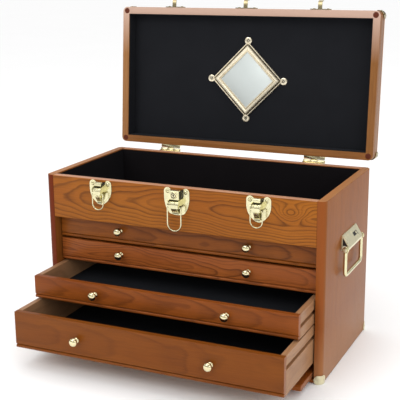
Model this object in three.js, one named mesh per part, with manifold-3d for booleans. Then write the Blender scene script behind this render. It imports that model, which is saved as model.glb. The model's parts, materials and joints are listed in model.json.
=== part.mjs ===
// Wooden keepsake chest with a hinged mirror lid, a lined top tray, four drawers and a removable
// front cover board kept in a slot under the lowest drawer. Brass latches, handles and corners.
//
// Units are millimetres and +Z is up. +X is the chest's right as seen from the front, and -Y is the
// front. The origin is the middle of the case's wooden underside. The rest pose has the lid open
// against its stop, the two lower drawers pulled out and the cover board part way into its slot.

import * as THREE from "three";
import { mergeVertices } from "three/addons/utils/BufferGeometryUtils.js";
import Module from "manifold-3d";

const wasm = await Module();
wasm.setup();

// ---------------------------------------------------------------- driving dimensions: case

const CASE_WIDTH = 508;
const CASE_DEPTH = 262;
const CASE_HEIGHT = 303;
const SIDE_THICKNESS = 14;
const WALL_THICKNESS = 12.5; // tray front and back panel
const EDGE_ROUND = 9; // upright outer edges of the case and the lid
const TRAY_FRONT_HEIGHT = 75;
const TRAY_FLOOR_THICKNESS = 5;
const TRAY_FLOOR_LIFT = 1.5; // above the tray front's lower edge
const BOTTOM_THICKNESS = 6;
const DIVIDER_THICKNESS = 5; // between the cover slot and the lowest drawer
const DIVIDER_SETBACK = 24; // behind the case front
const LINING_THICKNESS = 1.5;
const LINING_DROP = 2; // the lining stops this far below the rim
const FIT_GAP = 0.3; // between pieces that are turned together, and round curved fits

// ---------------------------------------------------------------- driving dimensions: cover board

const COVER_THICKNESS = 10;
const COVER_BOARD_DEPTH = 205; // front to back while stored: its height when it closes the front
const COVER_SIDE_GAP = 3;
const COVER_GAP_BELOW = 2;
const COVER_GAP_ABOVE = 3;
const COVER_PULLED_OUT = 56; // rest pose: how far it stands out of the case front
const COVER_EDGE_ROUND = 4;

// ---------------------------------------------------------------- driving dimensions: drawers

const DEEP_DRAWER_HEIGHT = 65;
const DRAWER_GAP = 2.5; // between one drawer and the next
const DRAWER_LIFT = 8; // of the lowest drawer above the divider
const DRAWER_RECESS = 17; // closed drawer fronts stand this far behind the case front
const DRAWER_SIDE_GAP = 2;
const DRAWER_BACK_GAP = 3;
const DRAWER_FRONT_THICKNESS = 10;
const DRAWER_SIDE_THICKNESS = 9.5;
const DRAWER_BACK_THICKNESS = 8;
const DRAWER_FLOOR_THICKNESS = 4;
const DRAWER_FLOOR_LIFT = 2;
const BEAD_HEIGHT = 7.5; // rounded strip along the foot of each drawer front
const BEAD_GROOVE = 1.6; // width and depth of the groove over it
const RUNNER_HEIGHT = 6;
const RUNNER_REACH = 5; // into the drawer side
const RUNNER_PLAY = 0.5;
const RUNNER_SETBACK = 3; // behind the closed drawer front's board
const KNOB_SPACING = 238;
const KNOB_RADIUS = 7.3;
const KNOB_LENGTH = 14.5;
const KNOB_FOOT_RADIUS = 4.8;
const KNOB_NECK_RADIUS = 3;
const KNOB_EDGE = 1.2; // height of the knob's foot ring and of each chamfer
const KNOB_NECK_SHARE = 0.42; // of the knob's length, where its head starts
const KNOB_HEAD_WALL = 3; // straight part of the head below its dome
const KNOB_PLACE = { deep: 0.51, shallow: 0.56 }; // shares of a front's height

// ---------------------------------------------------------------- driving dimensions: lid

const LID_HEIGHT = 32;
const LID_WALL = 13;
const LID_PANEL_THICKNESS = 5;
const SEAM_GAP = 0.5; // between the closed lid and the case
const LID_OPEN_DEG = 94.7;
const MIRROR_FRAME_SIDE = 93.8;
const MIRROR_OPENING_SIDE = 72.8;
const MIRROR_GLASS_SIDE = 76.2;
const MIRROR_GLASS_THICKNESS = 3;
const MIRROR_FRAME_THICKNESS = 5.5;
const MIRROR_LIP = 1.5; // of the frame in front of the glass
const MIRROR_EAR_RADIUS = 7;
const MIRROR_EAR_THICKNESS = 2.5;
const MIRROR_EAR_REACH = 6.2; // of an ear's centre beyond the frame's corner

// ---------------------------------------------------------------- driving dimensions: hinges

const HINGE_SPACING = 292;
const HINGE_WIDTH = 40;
const HINGE_LEAF_THICKNESS = 1.3;
const HINGE_LEAF_HEIGHT = 18; // of the plate on a back board
const HINGE_PIN_SETBACK = 9.7; // of the pin behind the case back
const HINGE_KNUCKLE_RADIUS = 3.2;
const HINGE_PIN_RADIUS = 1.5;
const HINGE_MIDDLE_KNUCKLE = 13.4;

// ---------------------------------------------------------------- driving dimensions: latches

const LATCH_SPACING = 144; // from the middle latch to each outer one
const LATCH_PLATE_THICKNESS = 1.3;
const LATCH_DROP = 0.8; // of the plate's top below the rim
const LEVER_EAR_THICKNESS = 1.5;
const LEVER_EAR_RADIUS = 4;
const LEVER_BARREL_RADIUS = 3.2;
const LEVER_PIN_RADIUS = 1.2;
const LEVER_PIN_STANDOFF = 13; // of the lever's pin in front of the case
const LOOP_PIVOT_STANDOFF = 11.5;
const LOOP_PIVOT_DROP = 7.5; // of the loop's pivot below the lever's pin
const LEVER_ARM_HALF = 2.6; // of the arm's metal round the loop's pivot
const LEVER_FACE = 1.5; // of the arm's face in front of the lever's pin
const TAIL_TIP_STANDOFF = 5.5; // of the tail's lifted tip in front of the case
const TAIL_THICKNESS = 2.4;
const TAIL_LIFT = 4; // height of the tip's outward curl
const OUTER_LATCH = {
  plateWidth: 42,
  plateHeight: 43,
  pinDrop: 15, // of the lever's pin below the rim
  leverWidth: 13.8,
  leverLength: 26,
  tailWidth: 9,
  loopWidth: 20.5,
  loopLength: 27.5,
  wireRadius: 1,
  housingWidth: 12,
  housingHeight: 7,
  housingDepth: 9,
  footShare: 0.3,
};
const MIDDLE_LATCH = {
  plateWidth: 46,
  plateHeight: 46,
  pinDrop: 24,
  leverWidth: 16.8,
  leverLength: 21,
  tailWidth: 11,
  loopWidth: 24.4,
  loopLength: 40,
  wireRadius: 1.15,
  housingWidth: 18,
  housingHeight: 16,
  housingDepth: 11,
  footShare: 0.55,
};
const PLATE_LOBE_RADIUS = 6.5; // of a latch plate's two top corners
const PLATE_DIP = 4; // of the plate's top edge between its lobes
const PLATE_FOOT_RISE = 2; // of the foot's ends above its middle
const PLATE_TAPER = 8; // height over the foot where the sides turn in
const HOUSING_DROP = 2.5; // of a housing's top below the plate's top
const LOCK_RADIUS = 5.8;
const LOCK_REACH = 1.5; // of the lock cylinder in front of its housing
const LOCK_LENGTH = 7;
const KEYWAY_WIDTH = 1.4;
const KEYWAY_HEIGHT = 7;
const CATCH_PLATE_HEIGHT = 13;
const CATCH_THICKNESS = 2.2;
const CATCH_WIDTH = 9;
const CATCH_REACH = 15.5;
const CATCH_TIP = 6.5;

// ---------------------------------------------------------------- driving dimensions: handles

const HANDLE_PLATE_WIDTH = 80;
const HANDLE_PLATE_HEIGHT = 19; // from its upper edge down to the sloping plate's lower edge
const HANDLE_SHEET = 1.6;
const HANDLE_TOP = 225;
const HANDLE_ROD_STANDOFF = 9;
const HANDLE_ROD_DROP = 22; // of the rod below the plate's upper edge
const HANDLE_ROD_RADIUS = 2.4;
const HANDLE_ROD_HEAD = { radius: 3.4, thickness: 1.4 };
const HANDLE_SLOT = { from: 9, to: 21, low: 0.3, high: 0.62 }; // heights as shares of the slope
const HANDLE_CURL_RADIUS = 4.2;
const BAIL_WIDTH = 94;
const BAIL_DROP = 44.5;
const BAIL_RADIUS = 3.2;
const BAIL_BEND = 9;
const BAIL_EYE_RADIUS = 5.6;
const BAIL_EYE_THICKNESS = 4.4;
const PIVOT_PLAY = 0.4; // round a turning pin

// ---------------------------------------------------------------- driving dimensions: corners

const CORNER_SHEET = 1.2;
const CORNER_LOBE_INSET = 5.5; // of a lobe's centre from both edges
const CORNER_LENGTH = 19;

// ---------------------------------------------------------------- rest pose

const DRAWER_PULL = [154, 91, 0, 0]; // lowest drawer first

// ---------------------------------------------------------------- worked-out places

const halfWidth = CASE_WIDTH / 2;
const frontY = -CASE_DEPTH / 2;
const backY = CASE_DEPTH / 2;
const innerX = halfWidth - SIDE_THICKNESS;
const innerBackY = backY - WALL_THICKNESS;
const trayBottomZ = CASE_HEIGHT - TRAY_FRONT_HEIGHT;
const trayFloorZ = trayBottomZ + TRAY_FLOOR_LIFT;
const coverZ = BOTTOM_THICKNESS + COVER_GAP_BELOW;
const dividerZ = coverZ + COVER_THICKNESS + COVER_GAP_ABOVE;
const stackZ = dividerZ + DIVIDER_THICKNESS + DRAWER_LIFT;
const shallowDrawerHeight =
  (trayBottomZ - stackZ - DEEP_DRAWER_HEIGHT - 3 * DRAWER_GAP) / 3;
const drawerHalfWidth = innerX - DRAWER_SIDE_GAP;
const drawerFrontY = frontY + DRAWER_RECESS;
const drawerBackY = innerBackY - DRAWER_BACK_GAP;
const runnerDrop = shallowDrawerHeight / 2;
const seamZ = CASE_HEIGHT + SEAM_GAP;
const lidTopZ = seamZ + LID_HEIGHT;
const lidPanelZ = lidTopZ - LID_PANEL_THICKNESS;
const cornerLobeRadius = SIDE_THICKNESS - CORNER_LOBE_INSET; // keeps a corner on its side board
const pinY = backY + HINGE_PIN_SETBACK;
const pinZ = CASE_HEIGHT + SEAM_GAP / 2;

// Lowest drawer first: the deep one, then three shallow ones.
const drawers = DRAWER_PULL.map((pull, i) => {
  const deep = i === 0;
  const height = deep ? DEEP_DRAWER_HEIGHT : shallowDrawerHeight;
  const firstShallow = stackZ + DEEP_DRAWER_HEIGHT + DRAWER_GAP;
  const bottom = deep
    ? stackZ
    : firstShallow + (i - 1) * (shallowDrawerHeight + DRAWER_GAP);
  const knobZ = bottom + height * (deep ? KNOB_PLACE.deep : KNOB_PLACE.shallow);
  return { name: `drawer_${4 - i}`, pull, height, bottom, knobZ };
});

// ---------------------------------------------------------------- materials

function finish(color, roughness, metalness) {
  return () => new THREE.MeshStandardMaterial({ color, roughness, metalness });
}

const figuredWood = finish(0xa86a35, 0.42, 0);
const sideWood = finish(0xa67852, 0.45, 0);
const drawerWood = finish(0x8a5230, 0.45, 0);
const paleWood = finish(0xb08a62, 0.6, 0);
const brass = finish(0xd8c98a, 0.25, 1);
const felt = finish(0x222326, 0.95, 0);
const silvering = finish(0xd8dde0, 0.03, 1);

// ---------------------------------------------------------------- solids

const X = "x";
const Y = "y";
const Z = "z";

// How an outline's own two axes and its depth lie in space, for an extrusion along each axis.
// Along X an outline is drawn in (y, z), along Y in (x, z) and along Z in (x, y).
const BASES = {
  x: new THREE.Matrix4().set(0, 0, 1, 0, 1, 0, 0, 0, 0, 1, 0, 0, 0, 0, 0, 1),
  y: new THREE.Matrix4().set(1, 0, 0, 0, 0, 0, -1, 0, 0, 1, 0, 0, 0, 0, 0, 1),
  z: new THREE.Matrix4(),
};

// A closed geometry as a manifold solid, with shared corners merged and collapsed faces dropped.
function solid(geometry) {
  const bare = new THREE.BufferGeometry();
  bare.setAttribute("position", geometry.getAttribute("position"));
  bare.setIndex(geometry.index);
  const merged = mergeVertices(bare, 1e-4);
  const kept = [];
  for (let i = 0; i < merged.index.count; i += 3) {
    const [a, b, c] = [0, 1, 2].map((k) => merged.index.getX(i + k));
    if (a !== b && b !== c && a !== c) kept.push(a, b, c);
  }
  const vertProperties = new Float32Array(merged.attributes.position.array);
  const triVerts = new Uint32Array(kept);
  return new wasm.Manifold(new wasm.Mesh({ numProp: 3, vertProperties, triVerts }));
}

function geometryOf(shape) {
  const made = shape.getMesh();
  const geometry = new THREE.BufferGeometry();
  geometry.setAttribute("position", new THREE.BufferAttribute(made.vertProperties, 3));
  geometry.setIndex(new THREE.BufferAttribute(made.triVerts, 1));
  return geometry;
}

function joined(...shapes) {
  return shapes.reduce((sum, shape) => sum.add(shape));
}

function cut(shape, ...tools) {
  return tools.reduce((rest, tool) => rest.subtract(tool), shape);
}

// The outline pushed along an axis from one coordinate to a higher one.
function extrude(outline, axis, from, to, arcSteps = 6) {
  const geometry = new THREE.ExtrudeGeometry(outline, {
    depth: to - from,
    bevelEnabled: false,
    curveSegments: arcSteps,
  });
  geometry.applyMatrix4(BASES[axis]);
  const start = axis === Y ? to : from;
  const move = { x: [start, 0, 0], y: [0, start, 0], z: [0, 0, start] }[axis];
  return solid(geometry.translate(...move));
}

function block(x0, x1, y0, y1, z0, z1) {
  const box = new THREE.BoxGeometry(x1 - x0, y1 - y0, z1 - z0);
  return solid(box.translate((x0 + x1) / 2, (y0 + y1) / 2, (z0 + z1) / 2));
}

function polygon(...points) {
  return new THREE.Shape(points.map(([u, v]) => new THREE.Vector2(u, v)));
}

function circle(u, v, radius) {
  return new THREE.Shape().absarc(u, v, radius, 0, 2 * Math.PI, false);
}

// A rectangle whose four corners have their own radii, from the lower left one anticlockwise.
function roundedRectangle(u0, u1, v0, v1, [a, b, c, d]) {
  const half = Math.PI / 2;
  const outline = new THREE.Shape();
  const corner = (u, v, radius, angle) => {
    if (radius > 0) outline.absarc(u, v, radius, angle, angle + half, false);
    else outline.lineTo(u, v);
  };
  outline.moveTo(u0, v0 + a);
  corner(u0 + a, v0 + a, a, 2 * half);
  corner(u1 - b, v0 + b, b, 3 * half);
  corner(u1 - c, v1 - c, c, 0);
  corner(u0 + d, v1 - d, d, half);
  return outline;
}

// A round rod along an axis, centred on (u, v) of the other two axes.
function rod(axis, u, v, radius, from, to, arcSteps = 6) {
  return extrude(circle(u, v, radius), axis, from, to, arcSteps);
}

// A path through points whose inner corners are bent round.
function bentPath(points, bend) {
  const places = points.map((p) => new THREE.Vector3(...p));
  const path = new THREE.CurvePath();
  let start = places[0];
  for (let i = 1; i < places.length - 1; i += 1) {
    const corner = places[i];
    const towards = (end) => end.clone().sub(corner).setLength(bend).add(corner);
    const into = towards(places[i - 1]);
    const out = towards(places[i + 1]);
    path.add(new THREE.LineCurve3(start, into));
    path.add(new THREE.QuadraticBezierCurve3(into, corner, out));
    start = out;
  }
  path.add(new THREE.LineCurve3(start, places.at(-1)));
  return path;
}

function wire(path, radius, steps) {
  const section = circle(0, 0, radius);
  const options = { steps, extrudePath: path, curveSegments: 4 };
  return solid(new THREE.ExtrudeGeometry(section, options));
}

// A turned piece about an axis along Y. The profile is [radius, distance towards -Y].
function turned(profile, steps) {
  const points = profile.map(([radius, reach]) => new THREE.Vector2(radius, reach));
  const lathe = new THREE.LatheGeometry(points, steps);
  return solid(lathe.rotateX(Math.PI));
}

// The whole chest. Each piece is a named mesh in it, or in one of its turned or slid groups.
const chest = new THREE.Group();

function piece(name, shape, material, parent = chest) {
  const mesh = new THREE.Mesh(geometryOf(shape), material());
  mesh.name = name;
  parent.add(mesh);
  return mesh;
}

// ---------------------------------------------------------------- case

// A side board with rounded upright outer edges and its four drawer runners.
function sideBoard(side) {
  const [x0, x1] = side > 0 ? [innerX, halfWidth] : [-halfWidth, -innerX];
  const radii = side > 0 ? [0, EDGE_ROUND, EDGE_ROUND, 0] : [EDGE_ROUND, 0, 0, EDGE_ROUND];
  const outline = roundedRectangle(x0, x1, frontY, backY, radii);
  const board = extrude(outline, Z, 0, CASE_HEIGHT);
  const reach = DRAWER_SIDE_GAP + RUNNER_REACH - RUNNER_PLAY;
  const runnerFrontY = drawerFrontY + DRAWER_FRONT_THICKNESS + RUNNER_SETBACK;
  const runners = drawers.map((drawer) => {
    const middle = drawer.bottom + drawer.height - runnerDrop;
    const [r0, r1] = side > 0 ? [innerX - reach, innerX] : [-innerX, reach - innerX];
    const low = middle - RUNNER_HEIGHT / 2;
    return block(r0, r1, runnerFrontY, innerBackY, low, low + RUNNER_HEIGHT);
  });
  return joined(board, ...runners);
}

// An open box of thin lining: a floor and four walls inside the given space.
function lining(halfX, y0, y1, z0, z1, floorLow) {
  const t = LINING_THICKNESS;
  const outer = block(-halfX, halfX, y0, y1, z0, z1);
  const [low, high] = floorLow ? [z0 + t, z1 + 1] : [z0 - 1, z1 - t];
  return cut(outer, block(t - halfX, halfX - t, y0 + t, y1 - t, low, high));
}

function buildCase() {
  piece("left_side", sideBoard(-1), sideWood);
  piece("right_side", sideBoard(1), sideWood);
  const back = block(-innerX, innerX, innerBackY, backY, 0, CASE_HEIGHT);
  piece("back_panel", back, sideWood);
  const bottom = block(-innerX, innerX, frontY, innerBackY, 0, BOTTOM_THICKNESS);
  piece("bottom_panel", bottom, sideWood);
  const dividerTop = dividerZ + DIVIDER_THICKNESS;
  const dividerFront = frontY + DIVIDER_SETBACK;
  const divider = block(-innerX, innerX, dividerFront, innerBackY, dividerZ, dividerTop);
  piece("divider_panel", divider, paleWood);
  const trayInnerY = frontY + WALL_THICKNESS;
  const front = block(-innerX, innerX, frontY, trayInnerY, trayBottomZ, CASE_HEIGHT);
  piece("tray_front", front, figuredWood);
  const floorTop = trayFloorZ + TRAY_FLOOR_THICKNESS;
  const floor = block(-innerX, innerX, trayInnerY, innerBackY, trayFloorZ, floorTop);
  piece("tray_floor", floor, paleWood);
  const liningTop = CASE_HEIGHT - LINING_DROP;
  const trayLining = lining(innerX, trayInnerY, innerBackY, floorTop, liningTop, true);
  piece("tray_lining", trayLining, felt);
}

// ---------------------------------------------------------------- brass corners

// A sheet cap for the outer corner at the origin of a block that lies towards -X, -Y and -Z,
// whose upright edge is rounded: a rounded lobe on each of the three faces, joined at the corner.
function cornerCap() {
  const t = CORNER_SHEET;
  const far = -2 * CORNER_LENGTH;
  const outerRadii = [0, 0, EDGE_ROUND + t, 0];
  const innerRadii = [0, 0, EDGE_ROUND - 1, 0];
  const outer = extrude(roundedRectangle(far, t, far, t, outerRadii), Z, far, t);
  const inner = extrude(roundedRectangle(far - 1, 0, far - 1, 0, innerRadii), Z, far - 1, 0);
  const lobe = circle(-CORNER_LOBE_INSET, -CORNER_LOBE_INSET, cornerLobeRadius);
  const depth = -EDGE_ROUND - t;
  const lobes = [X, Y, Z].map((axis) => extrude(lobe, axis, depth, 2 * t, 5));
  return cut(outer, inner).intersect(joined(...lobes));
}

const cornerSigns = [
  ["front_left", -1, -1],
  ["front_right", 1, -1],
  ["back_left", -1, 1],
  ["back_right", 1, 1],
];

function buildBaseCorners() {
  for (const [place, sx, sy] of cornerSigns) {
    const corner = piece(`base_corner_${place}`, cornerCap(), brass);
    corner.scale.set(sx, sy, -1);
    corner.position.set(sx * halfWidth, sy * backY, 0);
  }
}

// ---------------------------------------------------------------- drawers

// Seen from its end, a drawer front is a board with a groove near its foot and a rounded bead below.
function drawerFrontOutline(drawer) {
  const y0 = drawerFrontY;
  const y1 = y0 + DRAWER_FRONT_THICKNESS;
  const top = drawer.bottom + drawer.height;
  const groove = drawer.bottom + BEAD_HEIGHT;
  const half = BEAD_GROOVE / 2;
  const round = BEAD_HEIGHT / 2 - half;
  const outline = new THREE.Shape();
  outline.moveTo(y1, drawer.bottom);
  outline.lineTo(y1, top);
  outline.lineTo(y0, top);
  outline.lineTo(y0, groove + half);
  outline.lineTo(y0 + BEAD_GROOVE, groove);
  outline.lineTo(y0 + round, groove - half);
  outline.absarc(y0 + round, groove - half - round, round, Math.PI / 2, 1.5 * Math.PI, false);
  return outline;
}

function drawerBox(drawer) {
  const half = drawerHalfWidth;
  const innerHalf = half - DRAWER_SIDE_THICKNESS;
  const y0 = drawerFrontY + DRAWER_FRONT_THICKNESS;
  const y1 = drawerBackY;
  const top = drawer.bottom + drawer.height;
  const floorZ = drawer.bottom + DRAWER_FLOOR_LIFT;
  const sides = cut(
    block(-half, half, y0, y1, drawer.bottom, top),
    block(-innerHalf, innerHalf, y0 - 1, y1 - DRAWER_BACK_THICKNESS, drawer.bottom - 1, top + 1),
  );
  const floorTop = floorZ + DRAWER_FLOOR_THICKNESS;
  const floor = block(-half + 1, half - 1, y0, y1 - 1, floorZ, floorTop);
  const middle = top - runnerDrop;
  const grooveHalf = RUNNER_HEIGHT / 2 + RUNNER_PLAY;
  const grooves = [-1, 1].map((side) => {
    const [x0, x1] = side > 0 ? [half - RUNNER_REACH, half + 1] : [-half - 1, RUNNER_REACH - half];
    const start = y0 + RUNNER_SETBACK - 1;
    return block(x0, x1, start, y1 + 1, middle - grooveHalf, middle + grooveHalf);
  });
  return cut(joined(sides, floor), ...grooves);
}

// A turned brass knob with a foot ring, a neck and a domed head.
function knob() {
  const headStart = KNOB_LENGTH * KNOB_NECK_SHARE;
  const domeStart = headStart + KNOB_HEAD_WALL;
  const steps = 4;
  const dome = Array.from({ length: steps + 1 }, (_, i) => {
    const angle = (i / steps) * (Math.PI / 2);
    const radius = i === steps ? 0 : KNOB_RADIUS * Math.cos(angle);
    return [radius, domeStart + (KNOB_LENGTH - domeStart) * Math.sin(angle)];
  });
  const profile = [
    [0, 0],
    [KNOB_FOOT_RADIUS, 0],
    [KNOB_FOOT_RADIUS, KNOB_EDGE],
    [KNOB_NECK_RADIUS, 2 * KNOB_EDGE],
    [KNOB_NECK_RADIUS, headStart],
    [KNOB_RADIUS - KNOB_EDGE, headStart + KNOB_EDGE],
    ...dome,
  ];
  return turned(profile, 16);
}

function buildDrawers() {
  for (const drawer of drawers) {
    const slide = new THREE.Group();
    slide.position.y = -drawer.pull;
    chest.add(slide);
    const outline = drawerFrontOutline(drawer);
    const front = extrude(outline, X, -drawerHalfWidth, drawerHalfWidth, 4);
    piece(`${drawer.name}_front`, front, drawer.pull > 0 ? drawerWood : figuredWood, slide);
    piece(`${drawer.name}_box`, drawerBox(drawer), paleWood, slide);
    for (const [side, x] of [["left", -KNOB_SPACING / 2], ["right", KNOB_SPACING / 2]]) {
      const mesh = piece(`${drawer.name}_knob_${side}`, knob(), brass, slide);
      mesh.position.set(x, drawerFrontY, drawer.knobZ);
    }
  }
}

// ---------------------------------------------------------------- cover board

function buildCover() {
  const y0 = frontY - COVER_PULLED_OUT;
  const y1 = y0 + COVER_BOARD_DEPTH;
  const radii = [COVER_EDGE_ROUND, 1, 1, COVER_EDGE_ROUND];
  const outline = roundedRectangle(y0, y1, coverZ, coverZ + COVER_THICKNESS, radii);
  const half = innerX - COVER_SIDE_GAP;
  piece("front_cover", extrude(outline, X, -half, half, 4), figuredWood);
}

// ---------------------------------------------------------------- hinges

const hingePlaces = [-HINGE_SPACING / 2, HINGE_SPACING / 2];

// Each leaf is a plate on the outside of its back board, with a web that runs back from the seam
// to knuckles standing clear of the board.
function hingeLeaf(x, forLid) {
  const half = HINGE_WIDTH / 2;
  const middle = HINGE_MIDDLE_KNUCKLE / 2;
  const t = HINGE_LEAF_THICKNESS;
  const face = forLid ? backY + FIT_GAP : backY;
  const webLow = forLid ? seamZ + FIT_GAP / 2 : CASE_HEIGHT - t;
  const plateLow = forLid ? webLow : CASE_HEIGHT - HINGE_LEAF_HEIGHT;
  const plate = block(x - half, x + half, face, face + t, plateLow, plateLow + HINGE_LEAF_HEIGHT);
  const leaf = joined(plate, block(x - half, x + half, face, pinY, webLow, webLow + t));
  const clear = HINGE_KNUCKLE_RADIUS + 2 * FIT_GAP;
  const away = (x0, x1) => block(x0, x1, pinY - clear, pinY + clear, pinZ - clear, pinZ + clear);
  const knuckle = (x0, x1) => rod(X, pinY, pinZ, HINGE_KNUCKLE_RADIUS, x0, x1);
  if (forLid) {
    const inner = middle - FIT_GAP;
    const trimmed = cut(leaf, away(x - half - 1, x - inner), away(x + inner, x + half + 1));
    const barrel = joined(trimmed, knuckle(x - inner, x + inner));
    return cut(barrel, rod(X, pinY, pinZ, HINGE_PIN_RADIUS + FIT_GAP, x - half, x + half));
  }
  const trimmed = cut(leaf, away(x - middle, x + middle));
  const ends = [knuckle(x - half, x - middle), knuckle(x + middle, x + half)];
  return joined(trimmed, ...ends, rod(X, pinY, pinZ, HINGE_PIN_RADIUS, x - half, x + half));
}

function buildCaseHinges() {
  piece("hinge_left_case_leaf", hingeLeaf(hingePlaces[0], false), brass);
  piece("hinge_right_case_leaf", hingeLeaf(hingePlaces[1], false), brass);
}

// ---------------------------------------------------------------- latches

const latches = [
  { name: "latch_left", x: -LATCH_SPACING, size: OUTER_LATCH },
  { name: "latch_middle", x: 0, size: MIDDLE_LATCH },
  { name: "latch_right", x: LATCH_SPACING, size: OUTER_LATCH },
].map((latch) => {
  const leverZ = CASE_HEIGHT - latch.size.pinDrop;
  return { ...latch, leverZ, loopZ: leverZ - LOOP_PIVOT_DROP };
});

const latchPlateY = frontY - LATCH_PLATE_THICKNESS;
const leverY = frontY - LEVER_PIN_STANDOFF;
const loopY = frontY - LOOP_PIVOT_STANDOFF;

// Shield outline of a latch plate: two round lobes at the top, tapering to a rounded foot.
function shieldOutline({ x, size }) {
  const half = size.plateWidth / 2;
  const top = CASE_HEIGHT - LATCH_DROP;
  const lobe = PLATE_LOBE_RADIUS;
  const shoulder = top - size.plateHeight / 2;
  const foot = top - size.plateHeight;
  const footEnd = foot + PLATE_FOOT_RISE;
  const footHalf = half * size.footShare;
  const outline = new THREE.Shape();
  outline.moveTo(x + half, shoulder);
  outline.lineTo(x + half, top - lobe);
  outline.absarc(x + half - lobe, top - lobe, lobe, 0, Math.PI, false);
  outline.lineTo(x + half - 2 * lobe, top - PLATE_DIP);
  outline.lineTo(x - half + 2 * lobe, top - PLATE_DIP);
  outline.absarc(x - half + lobe, top - lobe, lobe, 0, Math.PI, false);
  outline.lineTo(x - half, shoulder);
  outline.quadraticCurveTo(x - half, foot + PLATE_TAPER, x - footHalf, footEnd);
  outline.quadraticCurveTo(x, foot - PLATE_FOOT_RISE, x + footHalf, footEnd);
  outline.quadraticCurveTo(x + half, foot + PLATE_TAPER, x + half, shoulder);
  return outline;
}

// The plate with its raised housing and the two ears that hold the lever's pin.
function latchBase(latch) {
  const { x, size, leverZ } = latch;
  const plate = extrude(shieldOutline(latch), Y, latchPlateY, frontY, 4);
  const housingTop = CASE_HEIGHT - LATCH_DROP - HOUSING_DROP;
  const housing = block(
    x - size.housingWidth / 2,
    x + size.housingWidth / 2,
    latchPlateY - size.housingDepth,
    latchPlateY,
    housingTop - size.housingHeight,
    housingTop,
  );
  const ears = [-1, 1].map((side) => {
    const inner = size.leverWidth / 2 + FIT_GAP;
    const near = x + side * inner;
    const far = near + side * LEVER_EAR_THICKNESS;
    const [x0, x1] = [Math.min(near, far), Math.max(near, far)];
    const r = LEVER_EAR_RADIUS;
    const tab = block(x0, x1, leverY, frontY - 0.1, leverZ - r, leverZ + r);
    return joined(tab, rod(X, leverY, leverZ, r, x0, x1, 5));
  });
  const pinHalf = size.leverWidth / 2 + FIT_GAP + LEVER_EAR_THICKNESS;
  const pin = rod(X, leverY, leverZ, LEVER_PIN_RADIUS, x - pinHalf, x + pinHalf, 5);
  const base = joined(plate, housing, ...ears, pin);
  if (size !== MIDDLE_LATCH) return base;
  const boreRadius = LOCK_RADIUS + PIVOT_PLAY;
  return cut(base, rod(Y, x, lockZ(), boreRadius, lockFrontY() - 1, lockBackY() + FIT_GAP));
}

// Where the lock cylinder sits in the middle latch's housing.
function lockZ() {
  return CASE_HEIGHT - LATCH_DROP - HOUSING_DROP - MIDDLE_LATCH.housingHeight / 2;
}

function lockFrontY() {
  return latchPlateY - MIDDLE_LATCH.housingDepth - LOCK_REACH;
}

function lockBackY() {
  return lockFrontY() + LOCK_LENGTH;
}

// A lever: a barrel on the pin, a body that carries the loop and a tail with a lifted tip.
function latchLever({ x, size, leverZ, loopZ }) {
  const half = size.leverWidth / 2;
  const tailHalf = size.tailWidth / 2;
  const barrel = rod(X, leverY, leverZ, LEVER_BARREL_RADIUS, x - half, x + half, 5);
  const tip = leverZ - size.leverLength;
  const armFront = leverY - LEVER_FACE;
  const armBack = loopY + LEVER_ARM_HALF;
  const body = polygon(
    [armFront, leverZ],
    [armFront, loopZ - LEVER_ARM_HALF],
    [armBack, loopZ - LEVER_ARM_HALF],
    [armBack, leverZ],
  );
  const tipY = frontY - TAIL_TIP_STANDOFF;
  const curl = tip + TAIL_LIFT;
  const tail = polygon(
    [armFront, loopZ],
    [armFront, loopZ - LEVER_ARM_HALF],
    [tipY, curl],
    [tipY - TAIL_THICKNESS / 2, tip],
    [tipY + TAIL_THICKNESS / 2, tip],
    [tipY + TAIL_THICKNESS, curl],
    [armBack, loopZ - LEVER_ARM_HALF],
    [armBack, loopZ],
  );
  const solidLever = joined(
    barrel,
    extrude(body, X, x - half, x + half),
    extrude(tail, X, x - tailHalf, x + tailHalf),
  );
  const pinBore = LEVER_PIN_RADIUS + PIVOT_PLAY;
  const loopBore = size.wireRadius + PIVOT_PLAY;
  return cut(
    solidLever,
    rod(X, leverY, leverZ, pinBore, x - half - 1, x + half + 1, 5),
    rod(X, loopY, loopZ, loopBore, x - half - 1, x + half + 1, 5),
  );
}

// A wire loop whose two inturned ends pivot in the lever.
function latchLoop({ x, size, loopZ }) {
  const half = size.loopWidth / 2;
  const stub = size.leverWidth / 2 - 2;
  const foot = loopZ - size.loopLength;
  const bend = 2.2 * size.wireRadius;
  const leg = (side, from, to) => [
    [x + side * from, loopY, loopZ],
    [x + side * half, loopY, loopZ],
    [x + side * half, loopY, to],
  ];
  const straight = [-1, 1].map((side) =>
    wire(bentPath(leg(side, stub, foot + half), bend), size.wireRadius, 14),
  );
  const bow = new THREE.CurvePath();
  const arcPoints = Array.from({ length: 15 }, (_, i) => {
    const angle = Math.PI + (i / 14) * Math.PI;
    const [c, s] = [Math.cos(angle), Math.sin(angle)];
    return new THREE.Vector3(x + half * c, loopY, foot + half + half * s);
  });
  bow.add(new THREE.CatmullRomCurve3(arcPoints));
  return joined(...straight, wire(bow, size.wireRadius, 16));
}

// The lock cylinder is a round plug with a keyway cut in its face.
function lockCylinder() {
  const plug = rod(Y, 0, lockZ(), LOCK_RADIUS, lockFrontY(), lockBackY(), 10);
  const half = KEYWAY_WIDTH / 2;
  const low = lockZ() - KEYWAY_HEIGHT / 2;
  const front = lockFrontY();
  return cut(plug, block(-half, half, front - 1, front + 4, low, low + KEYWAY_HEIGHT));
}

function buildLatches() {
  for (const latch of latches) {
    piece(`${latch.name}_base`, latchBase(latch), brass);
    piece(`${latch.name}_lever`, latchLever(latch), brass);
    piece(`${latch.name}_loop`, latchLoop(latch), brass);
  }
  piece("lock_cylinder", lockCylinder(), brass);
}

// ---------------------------------------------------------------- handles

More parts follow.
